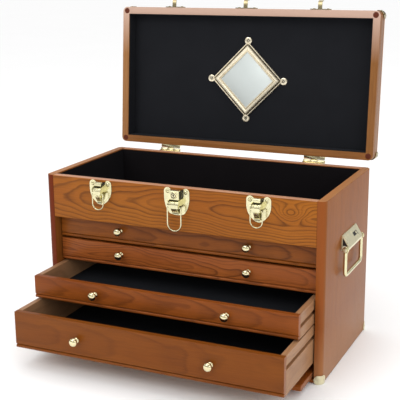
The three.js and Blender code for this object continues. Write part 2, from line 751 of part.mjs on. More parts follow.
// A folded bracket: a wall plate, a sloping face plate and a curl round the fixed rod.
function handleBracket() {
  const s = HANDLE_SHEET;
  const top = HANDLE_TOP;
  const rodZ = top - HANDLE_ROD_DROP;
  const slopeFoot = top - HANDLE_PLATE_HEIGHT;
  const half = HANDLE_PLATE_WIDTH / 2;
  const wall = polygon([0, rodZ - 4], [s, rodZ - 4], [s, top], [0, top]);
  const slopeOut = HANDLE_ROD_STANDOFF + HANDLE_CURL_RADIUS - 0.4;
  const slope = polygon(
    [0.4, top],
    [0.4, top - 1.2 * s],
    [slopeOut - 1.2 * s, slopeFoot],
    [slopeOut, slopeFoot],
    [s, top],
  );
  const slotLow = slopeFoot + HANDLE_PLATE_HEIGHT * HANDLE_SLOT.low;
  const slotHigh = slopeFoot + HANDLE_PLATE_HEIGHT * HANDLE_SLOT.high;
  const slot = block(s + 0.6, slopeOut + 1, HANDLE_SLOT.from, HANDLE_SLOT.to, slotLow, slotHigh);
  const faces = joined(extrudeHandle(wall, half), cut(extrudeHandle(slope, half), slot));
  const curl = rod(Y, HANDLE_ROD_STANDOFF, rodZ, HANDLE_CURL_RADIUS, -half, half);
  const rodHalf = BAIL_WIDTH / 2 + BAIL_EYE_THICKNESS / 2 + 0.6;
  const fixedRod = rod(Y, HANDLE_ROD_STANDOFF, rodZ, HANDLE_ROD_RADIUS, -rodHalf, rodHalf);
  const { radius, thickness } = HANDLE_ROD_HEAD;
  const heads = [-rodHalf - thickness, rodHalf].map((start) =>
    rod(Y, HANDLE_ROD_STANDOFF, rodZ, radius, start, start + thickness),
  );
  return joined(faces, curl, fixedRod, ...heads);
}

function extrudeHandle(outline, half) {
  return extrude(outline, Y, -half, half);
}

// The bail hangs from two eyes on the rod: straight arms and a round grip.
function handleBail() {
  const half = BAIL_WIDTH / 2;
  const u = HANDLE_ROD_STANDOFF;
  const rodZ = HANDLE_TOP - HANDLE_ROD_DROP;
  const gripZ = rodZ - BAIL_DROP;
  const armTop = rodZ - BAIL_EYE_RADIUS + 1;
  const corners = [
    [u, -half, armTop],
    [u, -half, gripZ],
    [u, half, gripZ],
    [u, half, armTop],
  ];
  const path = bentPath(corners, BAIL_BEND);
  const eyes = [-1, 1].map((side) => {
    const middle = side * half;
    const y0 = middle - BAIL_EYE_THICKNESS / 2;
    const y1 = middle + BAIL_EYE_THICKNESS / 2;
    return rod(Y, u, rodZ, BAIL_EYE_RADIUS, y0, y1, 7);
  });
  const bore = rod(Y, u, rodZ, HANDLE_ROD_RADIUS + PIVOT_PLAY, -half - 5, half + 5, 7);
  return cut(joined(wire(path, BAIL_RADIUS, 34), ...eyes), bore);
}

function buildHandles() {
  for (const [side, sign] of [["left", -1], ["right", 1]]) {
    const bracket = piece(`handle_${side}_bracket`, handleBracket(), brass);
    const bail = piece(`handle_${side}_bail`, handleBail(), brass);
    for (const mesh of [bracket, bail]) {
      mesh.scale.x = sign;
      mesh.position.x = sign * halfWidth;
    }
  }
}

// ---------------------------------------------------------------- lid

const lid = new THREE.Group();

// Adds a lid piece, drawn where it lies when the lid is closed, to the lid's turned group.
function lidPiece(name, shape, material) {
  return piece(name, shape.translate([0, -pinY, -pinZ]), material, lid);
}

function lidFrame() {
  const radii = [EDGE_ROUND, EDGE_ROUND, EDGE_ROUND, EDGE_ROUND];
  const outline = roundedRectangle(-halfWidth, halfWidth, frontY, backY, radii);
  const outer = extrude(outline, Z, seamZ, lidPanelZ - FIT_GAP, 6);
  const w = LID_WALL;
  const inner = block(w - halfWidth, halfWidth - w, frontY + w, backY - w, seamZ - 1, lidTopZ);
  return cut(outer, inner);
}

function lidPanel() {
  const radii = [EDGE_ROUND, EDGE_ROUND, EDGE_ROUND, EDGE_ROUND];
  const outline = roundedRectangle(-halfWidth, halfWidth, frontY, backY, radii);
  return extrude(outline, Z, lidPanelZ, lidTopZ, 6);
}

const liningCeiling = lidPanelZ - FIT_GAP;

function lidLining() {
  const w = LID_WALL + FIT_GAP;
  const rim = seamZ + LINING_DROP;
  return lining(halfWidth - w, frontY + w, backY - w, rim, liningCeiling, false);
}

// A square stood on its corner, of the given side, about the lid's middle.
function diamond(side, z0, z1) {
  const reach = side / Math.SQRT2;
  return extrude(polygon([reach, 0], [0, reach], [-reach, 0], [0, -reach]), Z, z0, z1);
}

const mirrorBackZ = liningCeiling - LINING_THICKNESS - FIT_GAP;
const mirrorFrontZ = mirrorBackZ - MIRROR_FRAME_THICKNESS;

function mirrorFrame() {
  const frame = diamond(MIRROR_FRAME_SIDE, mirrorFrontZ, mirrorBackZ);
  const reach = MIRROR_FRAME_SIDE / Math.SQRT2 + MIRROR_EAR_REACH;
  const earZ = mirrorBackZ - MIRROR_EAR_THICKNESS;
  const ears = [[reach, 0], [0, reach], [-reach, 0], [0, -reach]].map(([x, y]) =>
    rod(Z, x, y, MIRROR_EAR_RADIUS, earZ, mirrorBackZ, 7),
  );
  const seatSide = MIRROR_GLASS_SIDE + 2 * FIT_GAP;
  return cut(
    joined(frame, ...ears),
    diamond(MIRROR_OPENING_SIDE, mirrorFrontZ - 1, mirrorBackZ + 1),
    diamond(seatSide, mirrorFrontZ + MIRROR_LIP, mirrorBackZ + 1),
  );
}

function mirrorGlass() {
  const front = mirrorFrontZ + MIRROR_LIP + FIT_GAP;
  return diamond(MIRROR_GLASS_SIDE, front, front + MIRROR_GLASS_THICKNESS);
}

// A plate on the lid's front face with a hook that the latch's raised loop pulls down on. The
// loop's round bow reaches over the hook's two upper edges.
function lidCatch({ x, size, loopZ }) {
  const face = frontY - FIT_GAP;
  const plateHalf = size.plateWidth / 2 - 2;
  const bowRadius = size.loopWidth / 2;
  const clearRadius = bowRadius - size.wireRadius - PIVOT_PLAY;
  const bowRise = Math.sqrt(clearRadius ** 2 - (CATCH_WIDTH / 2) ** 2);
  const seat = loopZ + size.loopLength - bowRadius + bowRise;
  const low = seat - CATCH_THICKNESS;
  const radii = [3, 3, 3, 3];
  const high = low + CATCH_PLATE_HEIGHT;
  const plateOutline = roundedRectangle(x - plateHalf, x + plateHalf, low, high, radii);
  const plate = extrude(plateOutline, Y, face - LATCH_PLATE_THICKNESS, face, 3);
  const end = face - CATCH_REACH;
  const hook = polygon(
    [face - 0.2, low],
    [face - 0.2, seat],
    [end + CATCH_THICKNESS, seat],
    [end + CATCH_THICKNESS - 1.2, seat + CATCH_TIP],
    [end - 1.2, seat + CATCH_TIP],
    [end, low + 0.8],
    [end + 0.8, low],
  );
  return joined(plate, extrude(hook, X, x - CATCH_WIDTH / 2, x + CATCH_WIDTH / 2));
}

function buildLid() {
  lid.position.set(0, pinY, pinZ);
  lid.rotation.x = -THREE.MathUtils.degToRad(LID_OPEN_DEG);
  chest.add(lid);
  lidPiece("lid_frame", lidFrame(), sideWood);
  lidPiece("lid_panel", lidPanel(), sideWood);
  lidPiece("lid_lining", lidLining(), felt);
  lidPiece("mirror_frame", mirrorFrame(), brass);
  lidPiece("mirror_glass", mirrorGlass(), silvering);
  lidPiece("hinge_left_lid_leaf", hingeLeaf(hingePlaces[0], true), brass);
  lidPiece("hinge_right_lid_leaf", hingeLeaf(hingePlaces[1], true), brass);
  for (const latch of latches) {
    lidPiece(latch.name.replace("latch", "catch"), lidCatch(latch), brass);
  }
  for (const [place, sx, sy] of cornerSigns) {
    const corner = piece(`lid_corner_${place}`, cornerCap(), brass, lid);
    corner.scale.set(sx, sy, 1);
    const x = sx * (halfWidth + FIT_GAP);
    const y = sy * (backY + FIT_GAP) - pinY;
    corner.position.set(x, y, lidTopZ + FIT_GAP - pinZ);
  }
}

buildCase();
buildBaseCorners();
buildDrawers();
buildCover();
buildCaseHinges();
buildLatches();
buildHandles();
buildLid();

export default chest;
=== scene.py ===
"""Looks of a wooden keepsake chest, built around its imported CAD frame.

Shapes are made in millimetres and stored in metres, in the frame of the CAD model. Pieces of the
lid are made where they lie when the lid is shut, and their objects carry the turn that opens it.
"""

import json
import math
from collections import namedtuple

import bmesh
import bpy
from mathutils import Matrix, Vector


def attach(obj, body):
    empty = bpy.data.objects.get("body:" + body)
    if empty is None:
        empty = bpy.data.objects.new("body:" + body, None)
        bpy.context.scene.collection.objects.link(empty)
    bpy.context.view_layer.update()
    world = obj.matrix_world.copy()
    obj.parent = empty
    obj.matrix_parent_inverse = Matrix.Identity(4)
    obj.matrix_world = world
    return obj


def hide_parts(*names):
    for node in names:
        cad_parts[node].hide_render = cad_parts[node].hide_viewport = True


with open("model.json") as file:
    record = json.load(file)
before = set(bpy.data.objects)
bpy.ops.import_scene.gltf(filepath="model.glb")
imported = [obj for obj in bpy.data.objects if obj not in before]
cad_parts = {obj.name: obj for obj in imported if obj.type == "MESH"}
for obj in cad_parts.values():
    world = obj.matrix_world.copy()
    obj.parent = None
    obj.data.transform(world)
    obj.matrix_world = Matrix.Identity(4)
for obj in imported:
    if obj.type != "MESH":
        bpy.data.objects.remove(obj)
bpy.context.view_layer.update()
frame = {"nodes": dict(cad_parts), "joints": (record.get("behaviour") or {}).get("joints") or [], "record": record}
scene = bpy.context.scene
record = frame["record"]
joints = {joint["name"]: joint for joint in frame["joints"]}
body_of_node = {
    node: body for body, nodes in record["behaviour"]["bodies"].items() for node in nodes
}
slot_of_node = {part["node"]: part["material_slot"] for part in record["subparts"]}

MM = 0.001
X, Y, Z = 0, 1, 2
SIDES = ((-1, "left"), (1, "right"))
ENDS = ((-1, "front"), (1, "back"))
REST = Matrix.Identity(4)


def joint_point(name):
    """A joint's place in millimetres."""
    return Vector(joints[name]["pos_m"]) / MM


def open_lid_turn():
    """The turn, in metres, that takes the shut lid to its open rest pose."""
    joint = joints["lid_hinge"]
    pin = Vector(joint["pos_m"])
    angle = -math.radians(joint["range_deg"][0])
    turn = Matrix.Rotation(angle, 4, Vector(joint["axis"]))
    return Matrix.Translation(pin) @ turn @ Matrix.Translation(-pin)


LID = open_lid_turn()


def node_box(node, place=REST):
    """A CAD node's lowest and highest corners in millimetres, before its place's turn."""
    back = place.inverted()
    points = [back @ v.co / MM for v in frame["nodes"][node].data.vertices]
    low = Vector([min(p[i] for p in points) for i in range(3)])
    high = Vector([max(p[i] for p in points) for i in range(3)])
    return low, high


def span(node, place=REST):
    """A CAD node's lowest and highest corners, and its middle and half width in x."""
    low, high = node_box(node, place)
    return low, high, (low.x + high.x) / 2, (high.x - low.x) / 2


# ---------------- camera, floor and light

CAMERA_PLACE = (0.66743, -1.48471, 0.67351)
CAMERA_YAW, CAMERA_PITCH, CAMERA_ROLL = 24.81, 14.58, -0.59
CAMERA_LENS = 949.47 / 400 * 36


def make_camera():
    """A camera where CAMERA_PLACE says, turned by its yaw, pitch and roll."""
    yaw, pitch, roll = map(math.radians, (CAMERA_YAW, CAMERA_PITCH, CAMERA_ROLL))
    ahead = Vector((-math.sin(yaw) * math.cos(pitch), math.cos(yaw) * math.cos(pitch),
                    -math.sin(pitch)))
    right = Vector((math.cos(yaw), math.sin(yaw), 0))
    up = right.cross(ahead)
    tilted_right = math.cos(roll) * right + math.sin(roll) * up
    tilted_up = tilted_right.cross(ahead)
    data = bpy.data.cameras.new("camera")
    data.lens = CAMERA_LENS
    data.sensor_width = 36
    data.clip_end = 50
    camera = bpy.data.objects.new("camera", data)
    turn = Matrix((tilted_right, tilted_up, -ahead)).transposed().to_4x4()
    camera.matrix_world = Matrix.Translation(CAMERA_PLACE) @ turn
    scene.collection.objects.link(camera)
    scene.camera = camera


def make_light(name, place, target, size, power):
    """A soft rectangular lamp that faces its target."""
    data = bpy.data.lights.new(name, "AREA")
    data.shape = "RECTANGLE"
    data.size, data.size_y = size
    data.energy = power
    light = bpy.data.objects.new(name, data)
    light.location = place
    light.rotation_mode = "QUATERNION"
    light.rotation_quaternion = (Vector(target) - Vector(place)).to_track_quat("-Z", "Y")
    scene.collection.objects.link(light)


# ---------------- material nodes


def srgb(red, green, blue):
    """An 8-bit screen colour as the linear colour that shaders take."""
    def linear(value):
        share = value / 255
        return share / 12.92 if share <= 0.04045 else ((share + 0.055) / 1.055) ** 2.4
    return (linear(red), linear(green), linear(blue), 1)


def times(tone, factor):
    """A tone made darker or lighter."""
    return tuple(factor * c for c in tone[:3]) + (1,)


class Shader:
    """A material under construction: each call adds one node and returns its output."""

    def __init__(self, name):
        self.material = bpy.data.materials.new(name)
        self.material.use_nodes = True
        self.tree = self.material.node_tree
        self.tree.nodes.clear()

    def add(self, kind, inputs, out=0, **settings):
        node = self.tree.nodes.new("ShaderNode" + kind)
        for key, value in settings.items():
            setattr(node, key, value)
        for key, value in inputs.items():
            if isinstance(value, bpy.types.NodeSocket):
                self.tree.links.new(value, node.inputs[key])
            else:
                node.inputs[key].default_value = value
        return node.outputs[out]

    def math(self, operation, a, b=0.0, c=0.0):
        return self.add("Math", {0: a, 1: b, 2: c}, operation=operation)

    def scaled(self, vector, factors):
        return self.add("VectorMath", {0: vector, 1: factors}, operation="MULTIPLY")

    def noise(self, vector, detail=2.0, roughness=0.5):
        return self.add("TexNoise", {"Vector": vector, "Scale": 1.0, "Detail": detail,
                                     "Roughness": roughness})

    def clouds(self, size, *settings):
        """Noise of a size per mm, one number or one for each axis."""
        sizes = size if isinstance(size, tuple) else (size, size, size)
        return self.noise(self.scaled(self.millimetres(), sizes), *settings)

    def ramp(self, value, stops):
        """A curve of [place, height] stops through a colour ramp."""
        node = self.tree.nodes.new("ShaderNodeValToRGB")
        self.tree.links.new(value, node.inputs[0])
        elements = node.color_ramp.elements
        while len(elements) < len(stops):
            elements.new(0.5)
        for element, (place, height) in zip(elements, stops):
            element.position = place
            element.color = (height, height, height, 1)
        return node.outputs[0]

    def mix(self, factor, a, b, blend="MIX"):
        return self.add("Mix", {0: factor, 6: a, 7: b}, out=2, data_type="RGBA",
                        blend_type=blend)

    def spread(self, value, low, high):
        """A 0 to 1 value spread between two others."""
        return self.add("MapRange", {0: value, 3: low, 4: high})

    def millimetres(self):
        coordinates = self.add("TexCoord", {}, out=3)
        return self.scaled(coordinates, (1000, 1000, 1000))

    def axes(self, vector):
        node = self.tree.nodes.new("ShaderNodeSeparateXYZ")
        self.tree.links.new(vector, node.inputs[0])
        return [node.outputs[i] for i in range(3)]

    def point(self, x, y, z):
        return self.add("CombineXYZ", {0: x, 1: y, 2: z})

    def bump(self, height, strength, distance):
        return self.add("Bump", {"Height": height, "Strength": strength,
                                 "Distance": distance})

    def finish(self, **inputs):
        """Ends the tree in a principled shader with these inputs."""
        named = {key.replace("_", " "): value for key, value in inputs.items()}
        shader = self.add("BsdfPrincipled", named)
        output = self.tree.nodes.new("ShaderNodeOutputMaterial")
        self.tree.links.new(shader, output.inputs[0])
        return self.material


# ---------------- wood

# Each wood's early wood, middle wood, late wood and cut ends.
AMBER = (srgb(163, 97, 27), srgb(144, 79, 20), srgb(66, 31, 8), srgb(160, 112, 76))
# A darker, redder copy of AMBER: painted shade for drawer 1, which sits under the tray front.
AMBER_PAINTED_SHADE = (srgb(140, 79, 27), srgb(123, 64, 20), srgb(56, 26, 9), srgb(140, 92, 62))
GINGER = (srgb(161, 90, 40), srgb(143, 74, 31), srgb(64, 29, 12), srgb(150, 98, 66))
RUSSET = (srgb(144, 77, 26), srgb(126, 62, 19), srgb(60, 27, 8), srgb(150, 98, 68))
CHESTNUT = (srgb(126, 69, 17), srgb(112, 57, 13), srgb(74, 36, 11), srgb(150, 102, 72))
HONEY = (srgb(144, 86, 36), srgb(131, 74, 28), srgb(97, 51, 17), srgb(178, 126, 84))
TAN = (srgb(152, 104, 58), srgb(137, 86, 42), srgb(94, 54, 26), srgb(172, 124, 88))
# Paler and darker copies of TAN: painted light on the lid's left rim and painted shade on its right rim.
TAN_PAINTED_LIGHT = (srgb(161, 114, 70), srgb(145, 95, 51), srgb(100, 60, 32), srgb(178, 130, 96))
TAN_PAINTED_SHADE = (srgb(142, 96, 52), srgb(128, 80, 38), srgb(88, 50, 24), srgb(160, 114, 80))
BARE = (srgb(166, 127, 92), srgb(151, 108, 75), srgb(108, 72, 46), srgb(184, 144, 112))

WOOD_DEFAULTS = {
    "figure": 0.6,      # how dark the late wood is
    "ring": 5.0,        # mm between growth rings
    "depth": 38.0,      # mm from the board's middle back to the middle of the tree
    "shift": 0.0,       # mm from the board's middle across to the middle of the tree
    "slope": 0.05,      # lean of the tree's middle along the board
    "wobble": 10.0,     # mm that the tree's middle wanders
    "gloss": 0.34,
    "coat": 0.07,
    "knot": None,       # (along, across) mm from the board's middle to a swirl of the grain
    "faces": (),        # (axis, side, tone, share): faces that look that way take another tone, a stain or a painted highlight
    "fade": None,       # (axis, full at, gone at, tone): painted light, a paler tone that grows fainter along the board
    "fade_face": None,  # (axis, side): the painted light is only on faces that look that way
}
KNOT_SIZE = (0.042, 0.075)  # per mm along and across the grain
KNOT_LIFT = 24.0            # mm that the rings rise round a knot
# How the rings wander: per mm along the grain, per mm across it, and a shift of the noise.
SIDE_DRIFT, BACK_DRIFT = (0.006, 0.004, 3.1), (0.007, 0.004, 17.7)
RIPPLE, WIDTH_DRIFT = (0.012, 0.09, 5.5), (0.002, 0.02, 9.9)
RIPPLE_DEPTH, WIDTH_RINGS = 3.2, 2.0
# How dark the wood is across one ring, from its early wood to its late wood.
RING_TONES = [(0.0, 0.7), (0.09, 0.05), (0.45, 0.10), (0.74, 0.42), (0.91, 1.0), (1.0, 0.7)]
# Fineness of the fibres, the fine grain, the clouds of tone and the pores, along and across.
FIBRE, FINE, CLOUD, PORE = (0.03, 1.5), (0.10, 5.0), (0.006, 0.022), (0.05, 2.4)
# How strong the painted light is where it is full, and how much the cut ends take their tone.
PAINTED_LIGHT_SHARE, END_SHARE = 0.8, 0.6
SEED_STEP = 731.0
LACQUER_SHINE, LACQUER_ROUGHNESS = 0.12, 0.16
WOOD_RELIEF = 0.0003        # m


def wander(s, base, drift, amount, detail=2.0):
    """A smooth random value about nought that changes slowly along the grain."""
    along, across, shift = drift
    vector = s.add("VectorMath", {0: s.scaled(base, (along, across, across)),
                                  1: (shift, 0, 0)}, operation="ADD")
    centre = s.math("SUBTRACT", s.noise(vector, detail), 0.5)
    return s.math("MULTIPLY", centre, amount)


def growth_rings(s, base, u, v, w, form):
    """The number of rings between the middle of the tree and each point of a board."""
    swing = 2 * form["wobble"]
    side = s.math("ADD", s.math("ADD", v, form["shift"]), wander(s, base, SIDE_DRIFT, swing))
    lean = s.math("MULTIPLY_ADD", u, form["slope"], form["depth"])
    back = s.math("ADD", s.math("ADD", w, lean), wander(s, base, BACK_DRIFT, swing))
    square = s.math("ADD", s.math("POWER", side, 2.0), s.math("POWER", back, 2.0))
    radius = s.math("ADD", s.math("SQRT", square), wander(s, base, RIPPLE, RIPPLE_DEPTH, 3.0))
    if form["knot"]:
        along = s.math("MULTIPLY", s.math("SUBTRACT", u, form["knot"][0]), KNOT_SIZE[0])
        over = s.math("MULTIPLY", s.math("SUBTRACT", v, form["knot"][1]), KNOT_SIZE[1])
        away = s.math("ADD", s.math("POWER", along, 2.0), s.math("POWER", over, 2.0))
        swirl = s.math("EXPONENT", s.math("MULTIPLY", away, -1.0))
        radius = s.math("MULTIPLY_ADD", swirl, KNOT_LIFT, radius)
    rings = s.math("DIVIDE", radius, form["ring"])
    return s.math("ADD", rings, wander(s, base, WIDTH_DRIFT, WIDTH_RINGS, 1.0))


def stains_and_painted_light(s, color, place, grain, end, form):
    """The colour with paler cut ends, faces in another tone as a stain or a painted highlight, and painted light
    that grows fainter along the board.
    """
    normal = s.axes(s.add("TexCoord", {}, out=1))

    def facing(axis, sign, share):
        return s.ramp(s.math("MULTIPLY", normal[axis], float(sign)), [(0.35, 0), (0.75, share)])

    cut_end = s.ramp(s.math("ABSOLUTE", normal[grain]), [(0.80, 0), (0.95, END_SHARE)])
    color = s.mix(cut_end, color, end)
    # Faces in another tone: the wood's own tone on some edges, and painted highlights on top edges.
    for axis, sign, tone, share in form["faces"]:
        color = s.mix(facing(axis, sign, share), color, tone)
    # Painted light: a paler tone that grows fainter along the board, on faces that look one way when that is
    # asked.
    if form["fade"]:
        axis, full, gone, tone = form["fade"]
        strength = s.add("MapRange", {0: place[axis], 1: full, 2: gone, 3: PAINTED_LIGHT_SHARE, 4: 0.0})
        if form["fade_face"]:
            strength = s.math("MULTIPLY", strength, facing(*form["fade_face"], 1))
        color = s.mix(strength, color, tone)
    return color


def wood(name, box, grain, face, tones, seed, **changes):
    """Lacquered wood sawn from a tree: rings about an axis behind the board, fibres and pores.

    grain and face are the axes, 0 to 2, that the grain runs along and that the face looks along.
    """
    form = {**WOOD_DEFAULTS, **changes}
    light, mid, dark, end = tones
    s = Shader(name)
    low, high = box
    place = s.axes(s.millimetres())
    u, v, w = [s.math("SUBTRACT", place[axis], (low[axis] + high[axis]) / 2)
               for axis in (grain, 3 - grain - face, face)]
    base = s.point(s.math("ADD", u, seed * SEED_STEP), v, w)

    def fine_noise(size, *settings):
        return s.noise(s.scaled(base, (size[0], size[1], size[1])), *settings)

    rings = growth_rings(s, base, u, v, w, form)
    late = s.ramp(s.math("FRACT", rings), RING_TONES)
    random = s.add("TexWhiteNoise", {"W": s.math("FLOOR", rings)}, noise_dimensions="1D")
    late = s.math("MULTIPLY", late, s.spread(random, 0.45 * form["figure"], form["figure"]))
    fibre = fine_noise(FIBRE, 4.0, 0.6)
    color = s.mix(s.spread(fine_noise(CLOUD, 3.0), -0.25, 1.25), light, mid)
    color = s.mix(late, color, dark)
    shade = s.math("ADD", s.spread(fibre, 0.62, 1.34),
                   s.spread(fine_noise(FINE, 2.0), -0.10, 0.10))
    color = s.mix(1.0, color, s.add("CombineColor", {0: shade, 1: shade, 2: shade}),
                  "MULTIPLY")
    pores = s.ramp(fine_noise(PORE, 1.0), [(0.60, 0), (0.68, 0.5)])
    color = s.mix(s.math("MULTIPLY", pores, s.spread(late, 0.35, 1.0)), color, dark)
    relief = s.math("SUBTRACT", s.math("MULTIPLY_ADD", late, 0.25, fibre), pores)
    rough = s.math("ADD", s.spread(fibre, form["gloss"] - 0.07, form["gloss"] + 0.09),
                   s.math("MULTIPLY", pores, 0.15))
    return s.finish(
        Base_Color=stains_and_painted_light(s, color, place, grain, end, form), Roughness=rough,
        Coat_Weight=form["coat"], Coat_Roughness=LACQUER_ROUGHNESS,
        Specular_IOR_Level=LACQUER_SHINE, Normal=s.bump(relief, 0.16, WOOD_RELIEF),
    )


# ---------------- other materials


def brass_material(name, tint, roughness, metal=1.0):
    """Polished plated brass with faint handling marks and fine brushing."""
    s = Shader(name)
    smudge = s.clouds(0.09, 3.0)
    hairline = s.clouds((0.6, 6.0, 2.5), 3.0)
    worn = s.ramp(smudge, [(0.40, 0), (0.75, 1)])
    color = s.mix(s.math("MULTIPLY", worn, 0.5), tint, times(tint, 0.72))
    rough = s.math("ADD", s.spread(smudge, roughness - 0.05, roughness + 0.08),
                   s.spread(hairline, 0.0, 0.05))
    return s.finish(Base_Color=color, Metallic=metal, Roughness=rough,
                    Normal=s.bump(hairline, 0.05, 0.0001))


def felt_material(name, tone):
    """Dense black felt of matted fibres."""
    s = Shader(name)
    matted = s.clouds(1.1, 4.0, 0.7)
    flecks = s.clouds(4.5, 2.0)
    light = times(tone, 1.9)
    color = s.mix(s.ramp(flecks, [(0.45, 0), (0.72, 0.8)]), tone, light)
    color = s.mix(s.math("MULTIPLY", s.clouds(0.018, 2.0), 0.5), color, light)
    return s.finish(
        Base_Color=color, Roughness=0.95, Specular_IOR_Level=0.05, Sheen_Weight=0.03,
        Sheen_Roughness=0.5, Sheen_Tint=(0.55, 0.6, 0.7, 1),
        Normal=s.bump(s.math("ADD", matted, flecks), 0.5, 0.0005),
    )


def mirror_material():
    """A painted reflection: nearly diffuse, faintly hazy pale grey glass that stands for a soft reflection rather
    than a sharp picture.
    """
    s = Shader("mirror_painted_reflection")
    haze = s.clouds(0.04, 3.0)
    color = s.mix(haze, (0.62, 0.67, 0.65, 1), (0.66, 0.71, 0.69, 1))
    return s.finish(Base_Color=color, Metallic=0.1, Roughness=s.spread(haze, 0.42, 0.5),
                    Coat_Weight=0.08, Coat_Roughness=0.12)


def dark_material(name, tone):
    """The unlit inside of a slot or keyhole, with a little grime."""
    s = Shader(name)
    color = s.mix(s.clouds(0.8, 3.0), tone, times(tone, 1.8))
    return s.finish(Base_Color=color, Roughness=0.6)


def plug_material():
    """End grain of a dark hardwood dowel, with its small rings."""
    s = Shader("dowel_end_grain")
    grain = s.clouds(1.6, 4.0, 0.7)
    color = s.mix(grain, srgb(112, 54, 34), srgb(72, 32, 20))
    speck = s.ramp(s.clouds(5, 1.0), [(0.55, 0), (0.65, 0.6)])
    color = s.mix(speck, color, srgb(44, 20, 13))
    return s.finish(Base_Color=color, Roughness=0.5, Specular_IOR_Level=0.12,
                    Normal=s.bump(grain, 0.2, 0.0002))


def floor_material():
    """Plain white paper."""
    s = Shader("studio_floor")
    color = s.mix(s.clouds(0.002, 2.0), (0.96, 0.96, 0.96, 1), (0.98, 0.98, 0.98, 1))
    return s.finish(Base_Color=color, Roughness=0.9, Specular_IOR_Level=0.0)


BRASS = brass_material("polished_brass", (0.84, 0.75, 0.46, 1), 0.14)
PALE_BRASS = brass_material("plated_brass", (0.78, 0.73, 0.46, 1), 0.2)
SATIN_BRASS = brass_material("satin_brass", (0.95, 0.85, 0.64, 1), 0.22, 0.75)
CREAM_BRASS = brass_material("cream_brass", (0.80, 0.74, 0.50, 1), 0.26, 0.6)
# A darker copy of the brass, painted shade: for the lid's corner caps, and also given to the lid's catches.
SHADED_BRASS = brass_material("painted_shade_brass", (0.42, 0.35, 0.20, 1), 0.22)
FELT = felt_material("black_felt", (0.0055, 0.0045, 0.0050, 1))
# A paler copy of the black felt, painted light: for the lid's lining, and also given to the drawers' floors.
LIT_FELT = felt_material("painted_light_felt", (0.0095, 0.0100, 0.0118, 1))
MIRROR_PAINTED_REFLECTION = mirror_material()
DARK = dark_material("slot_shadow", (0.012, 0.010, 0.008, 1))
PLUG = plug_material()


# ---------------- mesh building


def make(name, bm, material, body, replaces=(), place=REST, bevel=0.0, segments=2,
         angle=32):
    """Turns a bmesh in millimetres into a piece that rides on a body."""
    bmesh.ops.recalc_face_normals(bm, faces=bm.faces)
    bm.transform(Matrix.Scale(MM, 4))
    mesh = bpy.data.meshes.new(name)
    bm.to_mesh(mesh)
    bm.free()
    for polygon in mesh.polygons:
        polygon.use_smooth = True
    mesh.materials.append(material)
    piece = bpy.data.objects.new(name, mesh)
    scene.collection.objects.link(piece)
    piece.matrix_world = place
    if bevel > 0:
        rounding = piece.modifiers.new("rounded_edges", "BEVEL")
        rounding.width = bevel * MM
        rounding.segments = segments
        rounding.limit_method = "ANGLE"
        rounding.angle_limit = math.radians(angle)
        rounding.harden_normals = True
    else:
        mesh.set_sharp_from_angle(angle=math.radians(angle))
    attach(piece, body)
    if replaces:
        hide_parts(*replaces)
    return piece


def add_block(bm, low, high):
    """A box between two corners."""
    outline = [(low[0], low[2]), (high[0], low[2]), (high[0], high[2]), (low[0], high[2])]
    add_prism(bm, outline, along_y, low[1], high[1])


def add_prism(bm, outline, where, start, end):
    """An outline of (u, v) pushed from start to end. where(u, v, w) gives each point's place."""
    near = [bm.verts.new(where(u, v, start)) for u, v in outline]
    far = [bm.verts.new(where(u, v, end)) for u, v in outline]
    bm.faces.new(near)
    bm.faces.new(list(reversed(far)))
    for i in range(len(outline)):
        j = (i + 1) % len(outline)
        bm.faces.new((near[i], near[j], far[j], far[i]))


def along_x(u, v, w):
    """Outlines in (y, z), pushed along x."""
    return (w, u, v)


def along_y(u, v, w):
    """Outlines in (x, z), pushed along y."""
    return (u, w, v)


def arc(u, v, radius, start, end, steps):
    """Points round a circle, angles in degrees."""
    angles = [math.radians(start + (end - start) * i / steps) for i in range(steps + 1)]
    return [(u + radius * math.cos(a), v + radius * math.sin(a)) for a in angles]


def frame_on(axis):
    """Two directions square to an axis."""
    axis = Vector(axis).normalized()
    helper = Vector((0, 0, 1)) if abs(axis.z) < 0.9 else Vector((1, 0, 0))
    first = helper.cross(axis).normalized()
    return first, axis.cross(first)


def circle(bm, middle, first, second, radius, steps):
    """Corners round a point, in the plane of two directions."""
    angles = [2 * math.pi * i / steps for i in range(steps)]
    return [bm.verts.new(middle + radius * (math.cos(a) * first + math.sin(a) * second))
            for a in angles]


def skin(bm, rings):
    """Faces from each ring of corners to the next. A ring of one corner is a point."""
    for a, b in zip(rings, rings[1:]):
        count = max(len(a), len(b))
        for i in range(count):
            j = (i + 1) % count
            loop = [a[i % len(a)], a[j % len(a)], b[j % len(b)], b[i % len(b)]]
            bm.faces.new(list(dict.fromkeys(loop)))


def add_turned(bm, profile, base, axis, steps=24):
    """A turned shape. The profile is [radius, distance along the axis] from end to end."""
    axis = Vector(axis).normalized()
    first, second = frame_on(axis)
    rings = []
    for radius, height in profile:
        middle = Vector(base) + axis * height
        if radius < 1e-6:
            rings.append([bm.verts.new(middle)])
        else:
            rings.append(circle(bm, middle, first, second, radius, steps))
    skin(bm, rings)
    for ring in (rings[0], rings[-1]):
        if len(ring) > 1:
            bm.faces.new(ring)


def add_tube(bm, points, radius, sides=12, closed=False):
    """A round rod along a line of points."""
    points = [Vector(p) for p in points]
    count = len(points)
    rings = []
    side = None
    for i, point in enumerate(points):
        before = points[i - 1] if i or closed else point
        after = points[(i + 1) % count] if i < count - 1 or closed else point
        ahead = (after - before).normalized()
        if side is None:
            side = frame_on(ahead)[0]
        side = (side - side.dot(ahead) * ahead).normalized()
        rings.append(circle(bm, point, side, ahead.cross(side), radius, sides))
    skin(bm, rings + rings[:1] if closed else rings)
    if not closed:
        bm.faces.new(rings[0])
        bm.faces.new(rings[-1])


